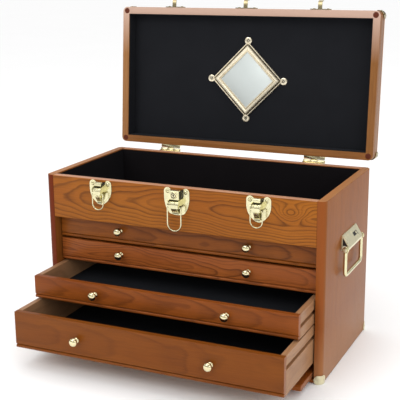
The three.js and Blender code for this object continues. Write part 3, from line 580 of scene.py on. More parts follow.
def curve(start, pull, end, steps):
    """Points of a bent line after its start."""
    points = []
    for i in range(1, steps + 1):
        t = i / steps
        points.append(tuple((1 - t) ** 2 * a + 2 * t * (1 - t) * b + t * t * c
                            for a, b, c in zip(start, pull, end)))
    return points


def mirrored(profile, length):
    """A turned shape's profile and its mirror image, over the whole length."""
    return profile + [(radius, length - height) for radius, height in reversed(profile)]


def bent(points, bend, steps=6):
    """A line through points with its inner corners bent round."""
    points = [Vector(p) for p in points]
    line = [points[0]]
    for before, corner, after in zip(points, points[1:], points[2:]):
        start = corner + (before - corner).normalized() * bend
        end = corner + (after - corner).normalized() * bend
        line += [start] + [Vector(p) for p in curve(start, corner, end, steps)]
    return line + [points[-1]]


SCREW_RINGS, SCREW_STEPS = 8, 32
SCREW_DOME = 2.4           # the dome's power: higher is flatter on top
CROSS_REACH = 0.7          # of the radius
SLOT_HALF, SLOT_DEPTH, SCREW_SINK = 0.15, 0.6, 0.4


def add_screw(bm, centre, axis, radius, height, turn=0.0, slots=2):
    """A domed screw head with a slot or a cross cut into it."""
    axis = Vector(axis).normalized()
    first, second = frame_on(axis)
    centre = Vector(centre)
    half_slot = SLOT_HALF * radius

    def point(share, angle):
        x, y = share * radius * math.cos(angle), share * radius * math.sin(angle)
        rise = height * (1 - share ** SCREW_DOME)
        c, d = math.cos(turn), math.sin(turn)
        in_slot = abs(c * x + d * y) < half_slot
        if slots == 2:
            in_slot = (in_slot or abs(c * y - d * x) < half_slot) and share < CROSS_REACH
        if in_slot:
            rise = max(rise - SLOT_DEPTH * height, 0.05)
        return centre + axis * rise + x * first + y * second

    rings = [[bm.verts.new(point(0, 0))]]
    angles = [2 * math.pi * k / SCREW_STEPS for k in range(SCREW_STEPS)]
    for i in range(1, SCREW_RINGS + 1):
        rings.append([bm.verts.new(point(i / SCREW_RINGS, a)) for a in angles])
    rings.append([bm.verts.new(v.co - axis * SCREW_SINK * height) for v in rings[-1]])
    skin(bm, rings)
    bm.faces.new(rings[-1])


def welded(node, place=REST):
    """A CAD node's mesh in millimetres with whole flat faces, ready for rounding."""
    bm = bmesh.new()
    bm.from_mesh(frame["nodes"][node].data)
    bm.transform(Matrix.Scale(1 / MM, 4) @ place.inverted())
    bmesh.ops.remove_doubles(bm, verts=bm.verts, dist=0.002)
    bmesh.ops.dissolve_limit(bm, angle_limit=math.radians(1), verts=bm.verts,
                             edges=bm.edges)
    return bm


def recolour(piece, material, chosen):
    """Gives another material to the faces whose middle, in millimetres, is chosen."""
    piece.data.materials.append(material)
    for polygon in piece.data.polygons:
        if chosen(polygon.center / MM):
            polygon.material_index = len(piece.data.materials) - 1


def refined(node, name, material, bevel, place=REST, segments=2, more=None, angle=32):
    """A rounded copy of a CAD node that stands for it, with anything that more(bm) adds."""
    bm = welded(node, place)
    if more:
        more(bm)
    return make(name, bm, material, body_of_node[node], [node], place,
                bevel, segments, angle)


# ---------------- case boards

BOARD_EDGE = 1.1


def board(node, grain, face, tones, seed, place=REST, bevel=BOARD_EDGE, **changes):
    """A CAD board with rounded edges and its own piece of wood."""
    box = node_box(node, place)
    material = wood(node + "_grain", box, grain, face, tones, seed, **changes)
    refined(node, node + "_board", material, bevel, place, 3)


PALE_RIM = (Z, 1, srgb(196, 148, 120), 0.7)  # lacquered top edges catch the light
LEFT_EDGE = (Y, -1, srgb(102, 40, 13), 1.0)
RIGHT_EDGE = (Y, -1, srgb(136, 72, 27), 0.95)
RIM_LIGHT = srgb(202, 172, 156)
LOW_LIGHT = (Z, -20, 95, srgb(170, 120, 80))  # painted light: the sides are painted paler towards the base


def case_boards():
    """The case's boards. The figured one is the board in front of the tray."""
    for side, seed, edge in (("left", 4, LEFT_EDGE), ("right", 9, RIGHT_EDGE)):
        board(side + "_side", Z, X, HONEY, seed, figure=0.30, ring=7.5, depth=150,
              wobble=16, slope=0.02, coat=0.0, faces=(edge,), fade=LOW_LIGHT)
    board("back_panel", X, Y, HONEY, 12, figure=0.4, ring=8, depth=60, faces=(PALE_RIM,))
    board("bottom_panel", X, Z, RUSSET, 13, figure=0.4, depth=55)
    board("divider_panel", X, Z, RUSSET, 14, figure=0.4, depth=55, bevel=0.6)
    board("tray_front", X, Y, AMBER, 21, figure=0.72, ring=4.6, depth=26, slope=-0.085,
          wobble=17, shift=-6, knot=(197, 12), faces=(PALE_RIM,))
    board("tray_floor", X, Z, BARE, 15, bevel=0.4)
    board("front_cover", X, Z, RUSSET, 16, figure=0.4, depth=50)


def lid_rim():
    """The lid's four rim boards in one piece, each with its grain along it."""
    low, high = node_box("lid_frame", LID)
    inner = node_box("lid_lining", LID)[1].x
    # Painted highlight: the rim's faces that look down when the lid is shut are painted paler towards its front.
    fade = (Y, low.y + 6, low.y + 90, RIM_LIGHT)
    looks = {"figure": 0.35, "ring": 5, "depth": 90, "wobble": 8, "fade": fade,
             "fade_face": (Z, -1)}
    front_grain = wood("lid_frame_grain", (low, high), X, Z, TAN, 33, **looks)
    # Painted light and shade: the left rim takes a paler copy of the tan and the right rim a darker one.
    left_painted_light_wood = wood("lid_left_painted_light_grain", (low, high), Y, Z, TAN_PAINTED_LIGHT, 35, **looks)
    right_painted_shade_wood = wood("lid_right_painted_shade_grain", (low, high), Y, Z, TAN_PAINTED_SHADE, 37, **looks)
    bm = welded("lid_frame", LID)
    for x in (-inner, inner):
        parts = bm.verts[:] + bm.edges[:] + bm.faces[:]
        bmesh.ops.bisect_plane(bm, geom=parts, plane_co=(x, 0, 0), plane_no=(1, 0, 0))
    rim = make("lid_frame_board", bm, front_grain, "lid",
               ["lid_frame"], LID, BOARD_EDGE, 3)
    recolour(rim, left_painted_light_wood, lambda place: place.x < 0.01 - inner)
    recolour(rim, right_painted_shade_wood, lambda place: place.x > inner - 0.01)


# ---------------- drawers

SIDE_BOARD, BACK_BOARD, FLOOR_LIFT, FLOOR_BOARD = 9.5, 8.0, 2.0, 4.0
GROOVE_DEPTH, GROOVE_HALF, GROOVE_DROP = 5.0, 3.5, 20.25
FELT_THICKNESS, FELT_CLEARANCE = 0.9, 0.4
# Each front's tones, seed and changes to the wood.
FRONT_LOOKS = {
    "drawer_1": (AMBER_PAINTED_SHADE, 41, {"figure": 0.6, "ring": 4.2, "depth": 30, "slope": 0.03}),
    "drawer_2": (GINGER, 47, {"figure": 0.72, "ring": 4.4, "depth": 14, "slope": 0.07,
                             "wobble": 20}),
    "drawer_3": (RUSSET, 52, {"figure": 0.5, "ring": 3.8, "depth": 60}),
    "drawer_4": (CHESTNUT, 57, {"figure": 0.35, "ring": 5.5, "depth": 90}),
}


def drawer_box(name, seed):
    """The drawer's sides with their runner grooves, its back and its floor."""
    node = name + "_box"
    (x0, y0, z0), (x1, y1, z1) = node_box(node)
    slot, body = slot_of_node[node], name
    middle = z1 - GROOVE_DROP
    low, high = middle - GROOVE_HALF, middle + GROOVE_HALF
    for sign, place in SIDES:
        outer = x1 if sign > 0 else x0
        inner = outer - sign * SIDE_BOARD
        deep = outer - sign * GROOVE_DEPTH
        outline = [(outer, z0), (outer, low), (deep, low), (deep, high), (outer, high),
                   (outer, z1), (inner, z1), (inner, z0)]
        bm = bmesh.new()
        add_prism(bm, outline, along_y, y0, y1)
        box = (Vector((min(inner, outer), y0, z0)), Vector((max(inner, outer), y1, z1)))
        material = wood(f"{name}_side_{place}_grain", box, Y, X, BARE, seed + sign,
                        figure=0.35, ring=6, depth=55, gloss=0.42, coat=0.2)
        make(f"{name}_side_{place}", bm, material, body,
             [node] if sign < 0 else [], bevel=0.7)
    inner_x = x1 - SIDE_BOARD
    back_low, back_high = Vector((-inner_x, y1 - BACK_BOARD, z0)), Vector((inner_x, y1, z1))
    floor_low = Vector((-inner_x, y0, z0 + FLOOR_LIFT))
    top = floor_low.z + FLOOR_BOARD
    floor_high = Vector((inner_x, back_low.y, top))
    for part, low, high, face, bevel in (("back", back_low, back_high, Y, 0.7),
                                         ("floor", floor_low, floor_high, Z, 0.4)):
        bm = bmesh.new()
        add_block(bm, low, high)
        material = wood(f"{name}_{part}_grain", (back_low, back_high), X, face, BARE,
                        seed + 4 + face, gloss=0.45, coat=0.1)
        make(f"{name}_{part}", bm, material, body, bevel=bevel)
    gap = FELT_CLEARANCE
    felt_panel(f"{name}_felt", (-inner_x + gap, y0 + gap, top + FELT_GAP),
               (inner_x - gap, back_low.y - gap, top + FELT_THICKNESS), Z, 1, LIT_FELT,
               body)


def drawer_pieces():
    """Each drawer's front, box, felt and two knobs."""
    for name, (tones, seed, changes) in FRONT_LOOKS.items():
        board(name + "_front", X, Y, tones, seed, bevel=0.8, **changes)
        drawer_box(name, seed + 20)
        for _, side in SIDES:
            knob(f"{name}_knob_{side}")


# A knob's foot and neck: share of its radius, and mm from the drawer.
KNOB_FOOT = [(0.0, 0.0), (0.66, 0.0), (0.68, 0.5), (0.66, 1.0), (0.52, 1.5), (0.42, 2.2),
             (0.40, 3.2), (0.46, 4.2)]
KNOB_NECK = 4.6            # mm from the drawer to where the head would close
KNOB_START, KNOB_STEPS = 0.22, 14


def knob(node):
    """A turned knob: stepped foot, thin neck and a nearly round head."""
    low, high, x, radius = span(node)
    length = high.y - low.y
    profile = [(share * radius, rise) for share, rise in KNOB_FOOT]
    for i in range(1, KNOB_STEPS + 1):
        angle = math.pi * (KNOB_START + (1 - KNOB_START) * i / KNOB_STEPS)
        reach = KNOB_NECK + (length - KNOB_NECK) * (1 - math.cos(angle)) / 2
        profile.append((radius * math.sin(angle) ** 0.9 if i < KNOB_STEPS else 0.0,
                        min(reach, length)))
    bm = bmesh.new()
    add_turned(bm, profile, (x, high.y, (low.z + high.z) / 2), (0, -1, 0), 32)
    make(node + "_turned", bm, BRASS, body_of_node[node], [node], angle=50)


# ---------------- felt

FELT_CELL = 9.0
LINING = 1.3               # thickness of the tray's and the lid's felt
FELT_GAP = 0.02            # between a panel and the next
FELT_EDGE, FELT_SWELL = 0.35, 0.06
SWELLS = ((0.071, 0.023), (-0.031, 0.093))  # waves per mm, times 2 pi, of the swelling


def felt_face(bm, low, high, thin, side, steps, shown):
    """One face of a panel as rows of corners. The shown one swells and has a sunk edge."""
    a, b = [axis for axis in range(3) if axis != thin]
    rows = []
    for j in range(steps[1] + 1):
        row = []
        for i in range(steps[0] + 1):
            point = Vector((0, 0, 0))
            point[a] = low[a] + (high[a] - low[a]) * i / steps[0]
            point[b] = low[b] + (high[b] - low[b]) * j / steps[1]
            point[thin] = (high if (side > 0) == shown else low)[thin]
            if shown:
                edge = i in (0, steps[0]) or j in (0, steps[1])
                swell = sum(math.sin(p * point[a] + q * point[b]) for p, q in SWELLS)
                point[thin] -= side * (FELT_EDGE if edge else FELT_SWELL * (1 + 0.5 * swell))
            row.append(bm.verts.new(point))
        rows.append(row)
    return rows


def felt_panel(name, low, high, thin, side, material, body, place=REST,
               replaces=()):
    """A flat panel of felt, glued down, whose shown face is very slightly uneven.

    thin is the axis through it and side is 1 or -1: the way its shown face looks.
    """
    low, high = Vector(low), Vector(high)
    a, b = [axis for axis in range(3) if axis != thin]
    steps = [max(2, round((high[i] - low[i]) / FELT_CELL)) for i in (a, b)]
    bm = bmesh.new()
    under, over = [felt_face(bm, low, high, thin, side, steps, shown)
                   for shown in (False, True)]
    strips = [pair for rows in (under, over) for pair in zip(rows, rows[1:])]
    strips += [(under[j], over[j]) for j in (0, -1)]
    strips += [([row[i] for row in under], [row[i] for row in over]) for i in (0, -1)]
    for near, far in strips:
        for i in range(len(near) - 1):
            bm.faces.new((near[i], near[i + 1], far[i + 1], far[i]))
    panel = make(name, bm, material, body, replaces, place, angle=40)


def lined_box(prefix, node, material, body, place=REST, up=1):
    """The felt floor and four felt walls that stand for a thin CAD lining.

    up is 1 when the lining's open side is up and -1 when it is down.
    """
    low, high = node_box(node, place)
    t = LINING
    flat = (low.z, low.z + t) if up > 0 else (high.z - t, high.z)
    tall = (flat[1] + FELT_GAP, high.z) if up > 0 else (low.z, flat[0] - FELT_GAP)
    felt_panel(prefix + "_felt_floor", (low.x, low.y, flat[0]), (high.x, high.y, flat[1]), Z,
               up, material, body, place, [node])
    for axis, (sign, side) in zip((X, X, Y, Y), SIDES + ENDS):
        a, b = low.copy(), high.copy()
        a.z, b.z = tall
        if sign < 0:
            b[axis] = a[axis] + t
        else:
            a[axis] = b[axis] - t
        if axis == X:
            a.y += t + FELT_GAP
            b.y -= t + FELT_GAP
        felt_panel(f"{prefix}_felt_{side}", a, b, axis, -sign, material, body,
                   place)


def linings():
    """The felt of the tray and of the lid."""
    lined_box("tray", "tray_lining", FELT, "case")
    lined_box("lid", "lid_lining", LIT_FELT, "lid", LID, -1)


# ---------------- lid fittings

PLUG_RADIUS = 5.2
PLUG_INSET = (8.4, 7.4)  # of a plug's centre from the lid's side and its front or back


def dowel_plugs():
    """Round dark plugs in the lid rim's corners, set flush with a faint raised edge."""
    low, high = node_box("lid_frame", LID)
    r = PLUG_RADIUS
    profile = [(r, -1.0), (r, 0.02), (r - 0.25, 0.18), (r * 0.5, 0.22), (0, 0.22)]
    for sx, side in SIDES:
        x = (low if sx < 0 else high).x - sx * PLUG_INSET[0]
        for sy, end in ENDS:
            y = (low if sy < 0 else high).y - sy * PLUG_INSET[1]
            bm = bmesh.new()
            add_turned(bm, profile, (x, y, low.z), (0, 0, -1), 28)
            make(f"lid_plug_{end}_{side}", bm, PLUG, "lid", place=LID)


# The frame's section: mm outwards from the opening, and the share of its height. From the outer
# rod over the dark groove and the broad bevel to the lip on the glass.
FRAME_SECTION = [(14.0, 0.0), (14.0, 0.30), (13.8, 0.46), (13.3, 0.58), (12.7, 0.62),
                 (12.1, 0.58), (11.6, 0.46), (11.3, 0.12), (9.5, 0.12), (9.2, 0.5),
                 (8.8, 0.90), (8.0, 1.0), (7.2, 0.99), (3.6, 0.72), (3.2, 0.62), (2.8, 0.72),
                 (2.2, 0.80), (0.6, 0.78), (0.0, 0.70), (0.0, 0.56), (2.0, 0.56), (2.0, 0.0)]
GROOVE = (9.4, 11.4)
GLASS_HELD = 1.7           # mm of the glass under the lip, square to its edge
EAR_RADIUS, EAR_HEIGHT, EAR_FLOOR = 7.0, 2.5, 1.6
EAR_WELL, EAR_SCREW = 2.9, 2.1
DIAGONAL = math.sqrt(2)
CORNERS = ((1, 0), (0, 1), (-1, 0), (0, -1))


def mirror_frame_mesh(cx, cy, back, height, inner, ears):
    """The mitred moulding and its four round ears with a screw in each."""
    bm = bmesh.new()
    rings = []
    for dx, dy in CORNERS:
        places = [(inner + out * DIAGONAL, back - rise * height) for out, rise in FRAME_SECTION]
        rings.append([bm.verts.new((cx + dx * reach, cy + dy * reach, z))
                      for reach, z in places])
    skin(bm, rings + rings[:1])
    ear = [(EAR_RADIUS, 0.0), (EAR_RADIUS, 1.6), (EAR_RADIUS - 0.5, 2.2),
           (EAR_RADIUS - 1.4, EAR_HEIGHT), (EAR_WELL, EAR_HEIGHT),
           (EAR_WELL - 0.4, EAR_FLOOR), (0.0, EAR_FLOOR)]
    for index, (dx, dy) in enumerate(CORNERS):
        reach = ears - EAR_RADIUS
        centre = Vector((cx + dx * reach, cy + dy * reach, back))
        add_turned(bm, ear, centre, (0, 0, -1), 28)
        add_screw(bm, centre - Vector((0, 0, EAR_FLOOR - 0.1)), (0, 0, -1), EAR_SCREW, 0.7,
                  0.5 + index * 0.9, 1)
    return bm


def mirror():
    """The brass frame, with painted shade in its groove and round its screws, and the glass with its painted
    reflection.
    """
    low, high, cx, ears = span("mirror_frame", LID)
    cy = (low.y + high.y) / 2
    back, height = high.z, high.z - low.z
    inner = span("mirror_glass", LID)[3] - GLASS_HELD * DIAGONAL
    bm = mirror_frame_mesh(cx, cy, back, height, inner, ears)
    moulding = make("mirror_frame_moulding", bm, SATIN_BRASS, "lid",
                    ["mirror_frame"], LID, angle=28)

    def in_shade(place):
        reach = abs(place.x - cx) + abs(place.y - cy)
        in_groove = GROOVE[0] < (reach - inner) / DIAGONAL < GROOVE[1]
        by_screw = abs(reach - ears + EAR_RADIUS) < EAR_WELL + 0.1 and place.z > back - 2
        return (in_groove and place.z > back - 0.3 * height) or by_screw

    recolour(moulding, DARK, in_shade)
    refined("mirror_glass", "mirror_glass_pane", MIRROR_PAINTED_REFLECTION, 0.8, LID, 1)


# ---------------- hinges

LEAF_SHEET, LEAF_EDGE = 1.4, 0.25
LEAF_SCREWS = (0.16, 0.5, 0.84)  # shares of the leaf's width
LEAF_SCREW_RADIUS, LEAF_SCREW_HEIGHT = 2.4, 0.6
SCREW_ABOVE, SCREW_BELOW = 9, 10  # of the lid leaf's edge, and of the hinge's pin
HINGE_PIN_HEAD = [(2.4, 0), (2.4, 0.5), (1.7, 1.1), (0, 1.3)]


def hinge_screws(node, place):
    """Three screws on the plate that lies on a back board."""
    low, high = node_box(node, place)
    plate_y = node_box("back_panel")[1].y + LEAF_SHEET
    z = low.z + SCREW_ABOVE if place is LID else joint_point("lid_hinge").z - SCREW_BELOW

    def more(bm):
        for i, share in enumerate(LEAF_SCREWS):
            x = low.x + share * (high.x - low.x)
            add_screw(bm, (x, plate_y, z), (0, 1, 0), LEAF_SCREW_RADIUS, LEAF_SCREW_HEIGHT,
                      0.4 + i)
    return more


def hinges():
    """Two hinges, each with its leaves and the two heads of its pin."""
    pin = joint_point("lid_hinge")
    for _, side in SIDES:
        for leaf, place in (("case", REST), ("lid", LID)):
            node = f"hinge_{side}_{leaf}_leaf"
            refined(node, node + "_plate", BRASS, LEAF_EDGE, place, 2,
                    hinge_screws(node, place))
        low, high = node_box(node)
        bm = bmesh.new()
        for sign, x in ((-1, low.x), (1, high.x)):
            add_turned(bm, HINGE_PIN_HEAD, (x, pin.y, pin.z), (sign, 0, 0), 20)
        make(f"hinge_{side}_pin_heads", bm, BRASS, "case")


# ---------------- corners

CAP_PIN_HEAD = [(1.5, 0), (1.4, 0.25), (0.9, 0.4), (0, 0.45)]
CAP_PIN_INSET, CAP_PIN_SUNK = 7.2, 0.1
CAP_EDGE = 0.5


def corner_pins(signs, corner):
    """Round pin heads on a corner cap's three faces."""
    def more(bm):
        for axis in range(3):
            middle = corner - CAP_PIN_INSET * signs
            middle[axis] = corner[axis] - CAP_PIN_SUNK * signs[axis]
            out = Vector((0, 0, 0))
            out[axis] = signs[axis]
            add_turned(bm, CAP_PIN_HEAD, middle, out, 18)
    return more


def corners():
    """The four caps of the base and the four of the lid."""
    for where, place, sz, material in (("base", REST, -1, CREAM_BRASS),
                                       ("lid", LID, 1, SHADED_BRASS)):
        for sy, end in ENDS:
            for sx, side in SIDES:
                node = f"{where}_corner_{end}_{side}"
                low, high = node_box(node, place)
                signs = Vector((sx, sy, sz))
                corner = Vector([(high if signs[i] > 0 else low)[i] for i in range(3)])
                refined(node, node + "_cap", material, CAP_EDGE, place, 3,
                        corner_pins(signs, corner), 40)


# ---------------- latches

LATCHES = ("left", "middle", "right")
PLATE_SHEET = 1.3
FIELD_INSET, FIELD_RAISE = 2.2, 0.6
LOBE = 6.5                 # radius of a plate's two top corners
DIP = 4.0                  # of the plate's top between them
SHOULDER = 0.4             # share of the plate's height where its sides start to turn in
LUG_RADIUS, LUG_SHEET = 4.0, 1.5  # the lugs that hold the lever's pin
LUG_PIN_HEAD = [(1.9, -0.5), (1.8, 0.1), (1.1, 0.2), (0, 0.25)]
LEVER_PLAY = 0.3
HOUSING_DROP, HOUSING_CHIN, HOUSING_BROW = 2.5, 1.6, 2.4
PLATE_SCREW, PLATE_SCREW_HEIGHT = 3.6, 1.5
BARREL, BARREL_GROOVE, BARREL_BORE = 3.2, 2.6, 1.4
BARREL_GROOVE_SHARE = 0.3  # of the barrel's length, from each end
TAIL_SHARE, TAIL_SHEET = 0.62, 2.2
TIP_STANDOFF = 5.5         # of the tail's tip from the board
RIDGE_HALF, RIDGE_RAISE = 1.6, 0.9
BOSS = [(3.4, -1.0), (3.4, 0.6), (2.9, 1.2), (1.6, 1.7), (0, 1.8)]
CATCH_SHEET, CATCH_WIDTH = 1.9, 7.5
CATCH_FOOT, CATCH_TOP, CATCH_DIP = 3, 4, 7  # radii of the catch plate's corners and its dip

LatchForm = namedtuple("LatchForm", "width tall depth foot wire")
# Size of the raised housing, share of the plate's half width that its foot has, wire's radius.
OUTER_FORM = LatchForm(12.0, 7.0, 9.0, 0.30, 1.0)
MIDDLE_FORM = LatchForm(18.0, 16.0, 11.0, 0.55, 1.15)


def latch_form(side):
    return MIDDLE_FORM if side == "middle" else OUTER_FORM


def shield(x, half, top, foot, foot_half, grow=0.0):
    """A latch plate's outline: two round lobes, and sides that turn in to a rounded foot.

    grow moves the outline outwards, or inwards when it is below nought.
    """
    lobe = LOBE + grow
    shoulder = top - SHOULDER * (top - foot)
    u = x + half
    right = arc(u - LOBE, top - LOBE, lobe, 150, 0, 10)
    right.append((u + grow, shoulder))
    right += curve((u + grow, shoulder), (u - 1.5 + grow, foot + 10 - grow),
                   (x + foot_half + grow, foot + 2 - grow), 8)
    right += curve((x + foot_half + grow, foot + 2 - grow), (x + foot_half / 2, foot - grow),
                   (x, foot - grow), 4)
    left = [(2 * x - a, b) for a, b in reversed(right[:-1])]
    dip = top - DIP + grow
    inner = half - 2 * LOBE - 1
    return [(x - inner, dip), (x + inner, dip)] + right + left


def latch_base(side):
    """The plate with its raised field, screws, housing and the lugs of the lever's pin."""
    node = f"latch_{side}_base"
    low, high, x, half = span(node)
    pin = joint_point(f"{side}_lever_hinge")
    form = latch_form(side)
    face = high.y - PLATE_SHEET
    foot_half = half * form.foot
    bm = bmesh.new()
    add_prism(bm, shield(x, half, high.z, low.z, foot_half), along_y, high.y - 0.02, face)
    field = shield(x, half, high.z, low.z, foot_half, -FIELD_INSET)
    add_prism(bm, field, along_y, face + 0.3, face - FIELD_RAISE)
    inner = node_box(f"latch_{side}_lever")[1].x - x + LEVER_PLAY
    lug = arc(pin.y, pin.z, LUG_RADIUS, 90, 270, 12)
    lug += [(face + 0.6, pin.z - 5.2), (face + 0.6, pin.z + 7.0)]
    for sign in (-1, 1):
        add_screw(bm, (x + sign * (half - LOBE), face - 0.5, high.z - LOBE), (0, -1, 0),
                  PLATE_SCREW, PLATE_SCREW_HEIGHT, 0.6 + sign, 1)
        outside = x + sign * (inner + LUG_SHEET)
        add_prism(bm, lug, along_x, *sorted((x + sign * inner, outside)))
        add_turned(bm, LUG_PIN_HEAD, (outside, pin.y, pin.z), (sign, 0, 0), 16)
    add_turned(bm, [(1.2, 0), (1.2, 2 * inner)], (x - inner, pin.y, pin.z), (1, 0, 0), 12)
    top = high.z - HOUSING_DROP
    foot, nose = top - form.tall, face - form.depth
    profile = [(face + 0.4, foot), (nose + HOUSING_CHIN, foot)]
    profile += arc(nose + HOUSING_CHIN, foot + HOUSING_CHIN, HOUSING_CHIN, 270, 180, 4)
    profile += arc(nose + HOUSING_BROW, top - HOUSING_BROW, HOUSING_BROW, 180, 90, 5)
    profile += [(face + 0.4, top)]
    add_prism(bm, profile, along_x, x - form.width / 2, x + form.width / 2)
    make(f"latch_{side}_plate", bm, PALE_BRASS, "case", [node], bevel=0.28,
         angle=40)
    shadow_slots(side, x, face, top, inner)


def shadow_slots(side, x, face, top, inner):
    """The housing's dark open side, and the dark gap beside the lever's barrel."""
    form = latch_form(side)
    pin = joint_point(f"{side}_lever_hinge")
    foot, edge, far = top - form.tall, x + form.width / 2, x - inner - LUG_SHEET
    bm = bmesh.new()
    add_block(bm, (edge - 0.3, face - form.depth + 1.8, foot + 1.2),
              (edge + 0.25, face - 1.2, top - 1.4))
    add_block(bm, (edge + 0.4, face - 0.9, foot + 0.4), (edge + 2.4, face - 0.4, top))
    add_block(bm, (far - 0.3, pin.y - 1.0, pin.z - 2.4), (far + 0.2, face - 1.5, pin.z + 1.2))
    add_block(bm, (x - inner, pin.y + 3.4, pin.z - 3.5), (x + inner, face - 0.4, pin.z + 2.0))
    make(f"latch_{side}_slots", bm, DARK, "case", bevel=0.15)


def latch_lever(side):
    """The rolled barrel, the arm that holds the loop and the tail with its lifted tip."""
    node = f"latch_{side}_lever"
    low, _, x, half = span(node)
    pin, loop = joint_point(f"{side}_lever_hinge"), joint_point(f"{side}_loop_hinge")
    length = 2 * half
    at = BARREL_GROOVE_SHARE * length
    barrel = [(BARREL_BORE, 0), (BARREL - 0.2, 0), (BARREL, 0.3), (BARREL, at - 0.5),
              (BARREL_GROOVE, at - 0.2), (BARREL_GROOVE, at + 0.2), (BARREL, at + 0.5)]
    bm = bmesh.new()
    add_turned(bm, mirrored(barrel, length), (x - half, pin.y, pin.z), (1, 0, 0), 24)
    arm = [(pin.y - 1.9, pin.z), (pin.y - 1.7, loop.z - 1.6)]
    arm += arc(loop.y, loop.z, 2.5, 200, 340, 8) + [(loop.y + 2.5, pin.z)]
    add_prism(bm, arm, along_x, x - half, x + half)
    tip_y, tip_z = node_box("tray_front")[0].y - TIP_STANDOFF, low.z
    root = (pin.y - 1.4, loop.z)
    front = curve(root, (pin.y + 1.0, (loop.z + tip_z) / 2), (tip_y, tip_z + 4), 6)
    tail = [root] + front
    tail += [(tip_y - 0.9, tip_z + 1.2), (tip_y - 1.0, tip_z), (tip_y + 1.0, tip_z + 0.4)]
    tail += [(y + TAIL_SHEET, z) for y, z in reversed(front)] + [(pin.y + 1.6, loop.z)]
    add_prism(bm, tail, along_x, x - half * TAIL_SHARE, x + half * TAIL_SHARE)
    ridge = [(y - RIDGE_RAISE, z) for y, z in front[:-1]]
    ridge += [(y + 0.6, z) for y, z in reversed(front[:-1])]
    add_prism(bm, ridge, along_x, x - RIDGE_HALF, x + RIDGE_HALF)
    make(f"latch_{side}_tongue", bm, PALE_BRASS, f"{side}_lever", [node],
         bevel=0.3, angle=40)
    if side == "middle":
        bm = bmesh.new()
        add_turned(bm, BOSS, (x, tip_y + 0.2, tip_z + 5.6), (0, -1, 0), 24)
        make("latch_middle_boss", bm, BRASS, "middle_lever")


def latch_loop(side):
    """A bent wire loop with eyes at its ends."""
    node = f"latch_{side}_loop"
    low, _, x, half = span(node)
    pivot = joint_point(f"{side}_loop_hinge")
    r = latch_form(side).wire
    half -= r
    foot = low.z + r
    lever_half = (node_box(f"latch_{side}_lever")[1].x - x) - 2
    legs = bent([(x + lever_half, pivot.y, pivot.z), (x + half, pivot.y, pivot.z),
                 (x + half, pivot.y, foot + half)], 2.6, 5)
    bow = [(x + half * math.cos(a), pivot.y, foot + half + half * math.sin(a))
           for a in [-math.pi * i / 20 for i in range(1, 20)]]
    other = [Vector((2 * x - p.x, p.y, p.z)) for p in reversed(legs)]
    bm = bmesh.new()
    add_tube(bm, legs + [Vector(p) for p in bow] + other, r, 12)
    make(node + "_wire", bm, PALE_BRASS, f"{side}_loop", [node], angle=60)


# The lock's face: mm in from its rim, and mm below its front.
LOCK_FACE = [(0, 0.6), (0.5, 0), (1.2, 0), (1.5, 0.5), (2.4, 0.5), (2.7, 0.1)]
LOCK_GROOVE = (1.2, 2.7)
KEY_HALF, KEY_TOP, KEY_FOOT = 0.8, 0.5, 2.6


def lock():
    """The round lock plug, with a stepped face, painted shade in its groove, and a dark sheet of painted shade in
    its keyway.
    """
    low, high, cx, radius = span("lock_cylinder")
    cz = (low.z + high.z) / 2
    length = high.y - low.y
    profile = [(radius, 0)] + [(radius - inset, length - drop) for inset, drop in LOCK_FACE]
    profile.append((0, length))
    bm = bmesh.new()
    add_turned(bm, profile, (cx, high.y, cz), (0, -1, 0), 36)
    plug = make("lock_plug", bm, BRASS, "lock", ["lock_cylinder"], angle=30)

    def in_groove(place):
        inset = radius - math.hypot(place.x - cx, place.z - cz)
        return LOCK_GROOVE[0] < inset < LOCK_GROOVE[1]

    # Painted shade: the groove in the face takes the dark material.
    recolour(plug, DARK, in_groove)
    # Painted shade: a dark sheet stands in the keyway.
    left, right = cx - KEY_HALF, cx + KEY_HALF
    keyway = [(left, cz - KEY_FOOT), (right, cz - KEY_FOOT), (right, cz - KEY_TOP)]
    keyway += arc(cx, cz + 0.9, 1.6, -50, 230, 12) + [(left, cz - KEY_TOP)]
    bm = bmesh.new()
    add_prism(bm, keyway, along_y, low.y + 0.4, low.y - 0.04)
    make("lock_keyway", bm, DARK, "lock")


def lid_catch(side):
    """The lid's plate with its screws and the curved hook that the loop pulls on."""
    node = f"catch_{side}"
    low, high, x, half = span(node, LID)
    back, end, foot, top = high.y, low.y, low.z, high.z
    seat = foot + CATCH_SHEET
    left, right = x - half, x + half
    plate = arc(left + CATCH_FOOT, foot + CATCH_FOOT, CATCH_FOOT, 180, 270, 5)
    plate += arc(right - CATCH_FOOT, foot + CATCH_FOOT, CATCH_FOOT, 270, 360, 5)
    plate += arc(right - CATCH_TOP, top - CATCH_TOP, CATCH_TOP, 0, 90, 6)
    plate += arc(x, top + 3, CATCH_DIP, 310, 230, 8)
    plate += arc(left + CATCH_TOP, top - CATCH_TOP, CATCH_TOP, 90, 180, 6)
    bm = bmesh.new()
    add_prism(bm, plate, along_y, back, back - PLATE_SHEET)
    hook = [(back - 1, foot)]
    hook += curve(hook[0], (end + 2, foot - 0.2), (end + 0.6, seat + 1.5), 6)
    hook += curve(hook[-1], (end - 0.2, seat + 5.5), (end + 1.0, seat + 9.0), 4)
    hook.append((end + 1.9, seat + 8.6))
    hook += curve(hook[-1], (end + 1.4, seat), (end + 5.0, seat), 7)
    hook.append((back - 1, seat))
    add_prism(bm, hook, along_x, x - CATCH_WIDTH / 2, x + CATCH_WIDTH / 2)
    for sign in (-1, 1):
        at = (x + sign * (half - 6), back - PLATE_SHEET, top - 5.5)
        add_screw(bm, at, (0, -1, 0), 3.0, 1.2, 0.9 + sign, 1)
    make(node + "_hook", bm, SHADED_BRASS, "lid", [node], LID, 0.3, 2, 40)


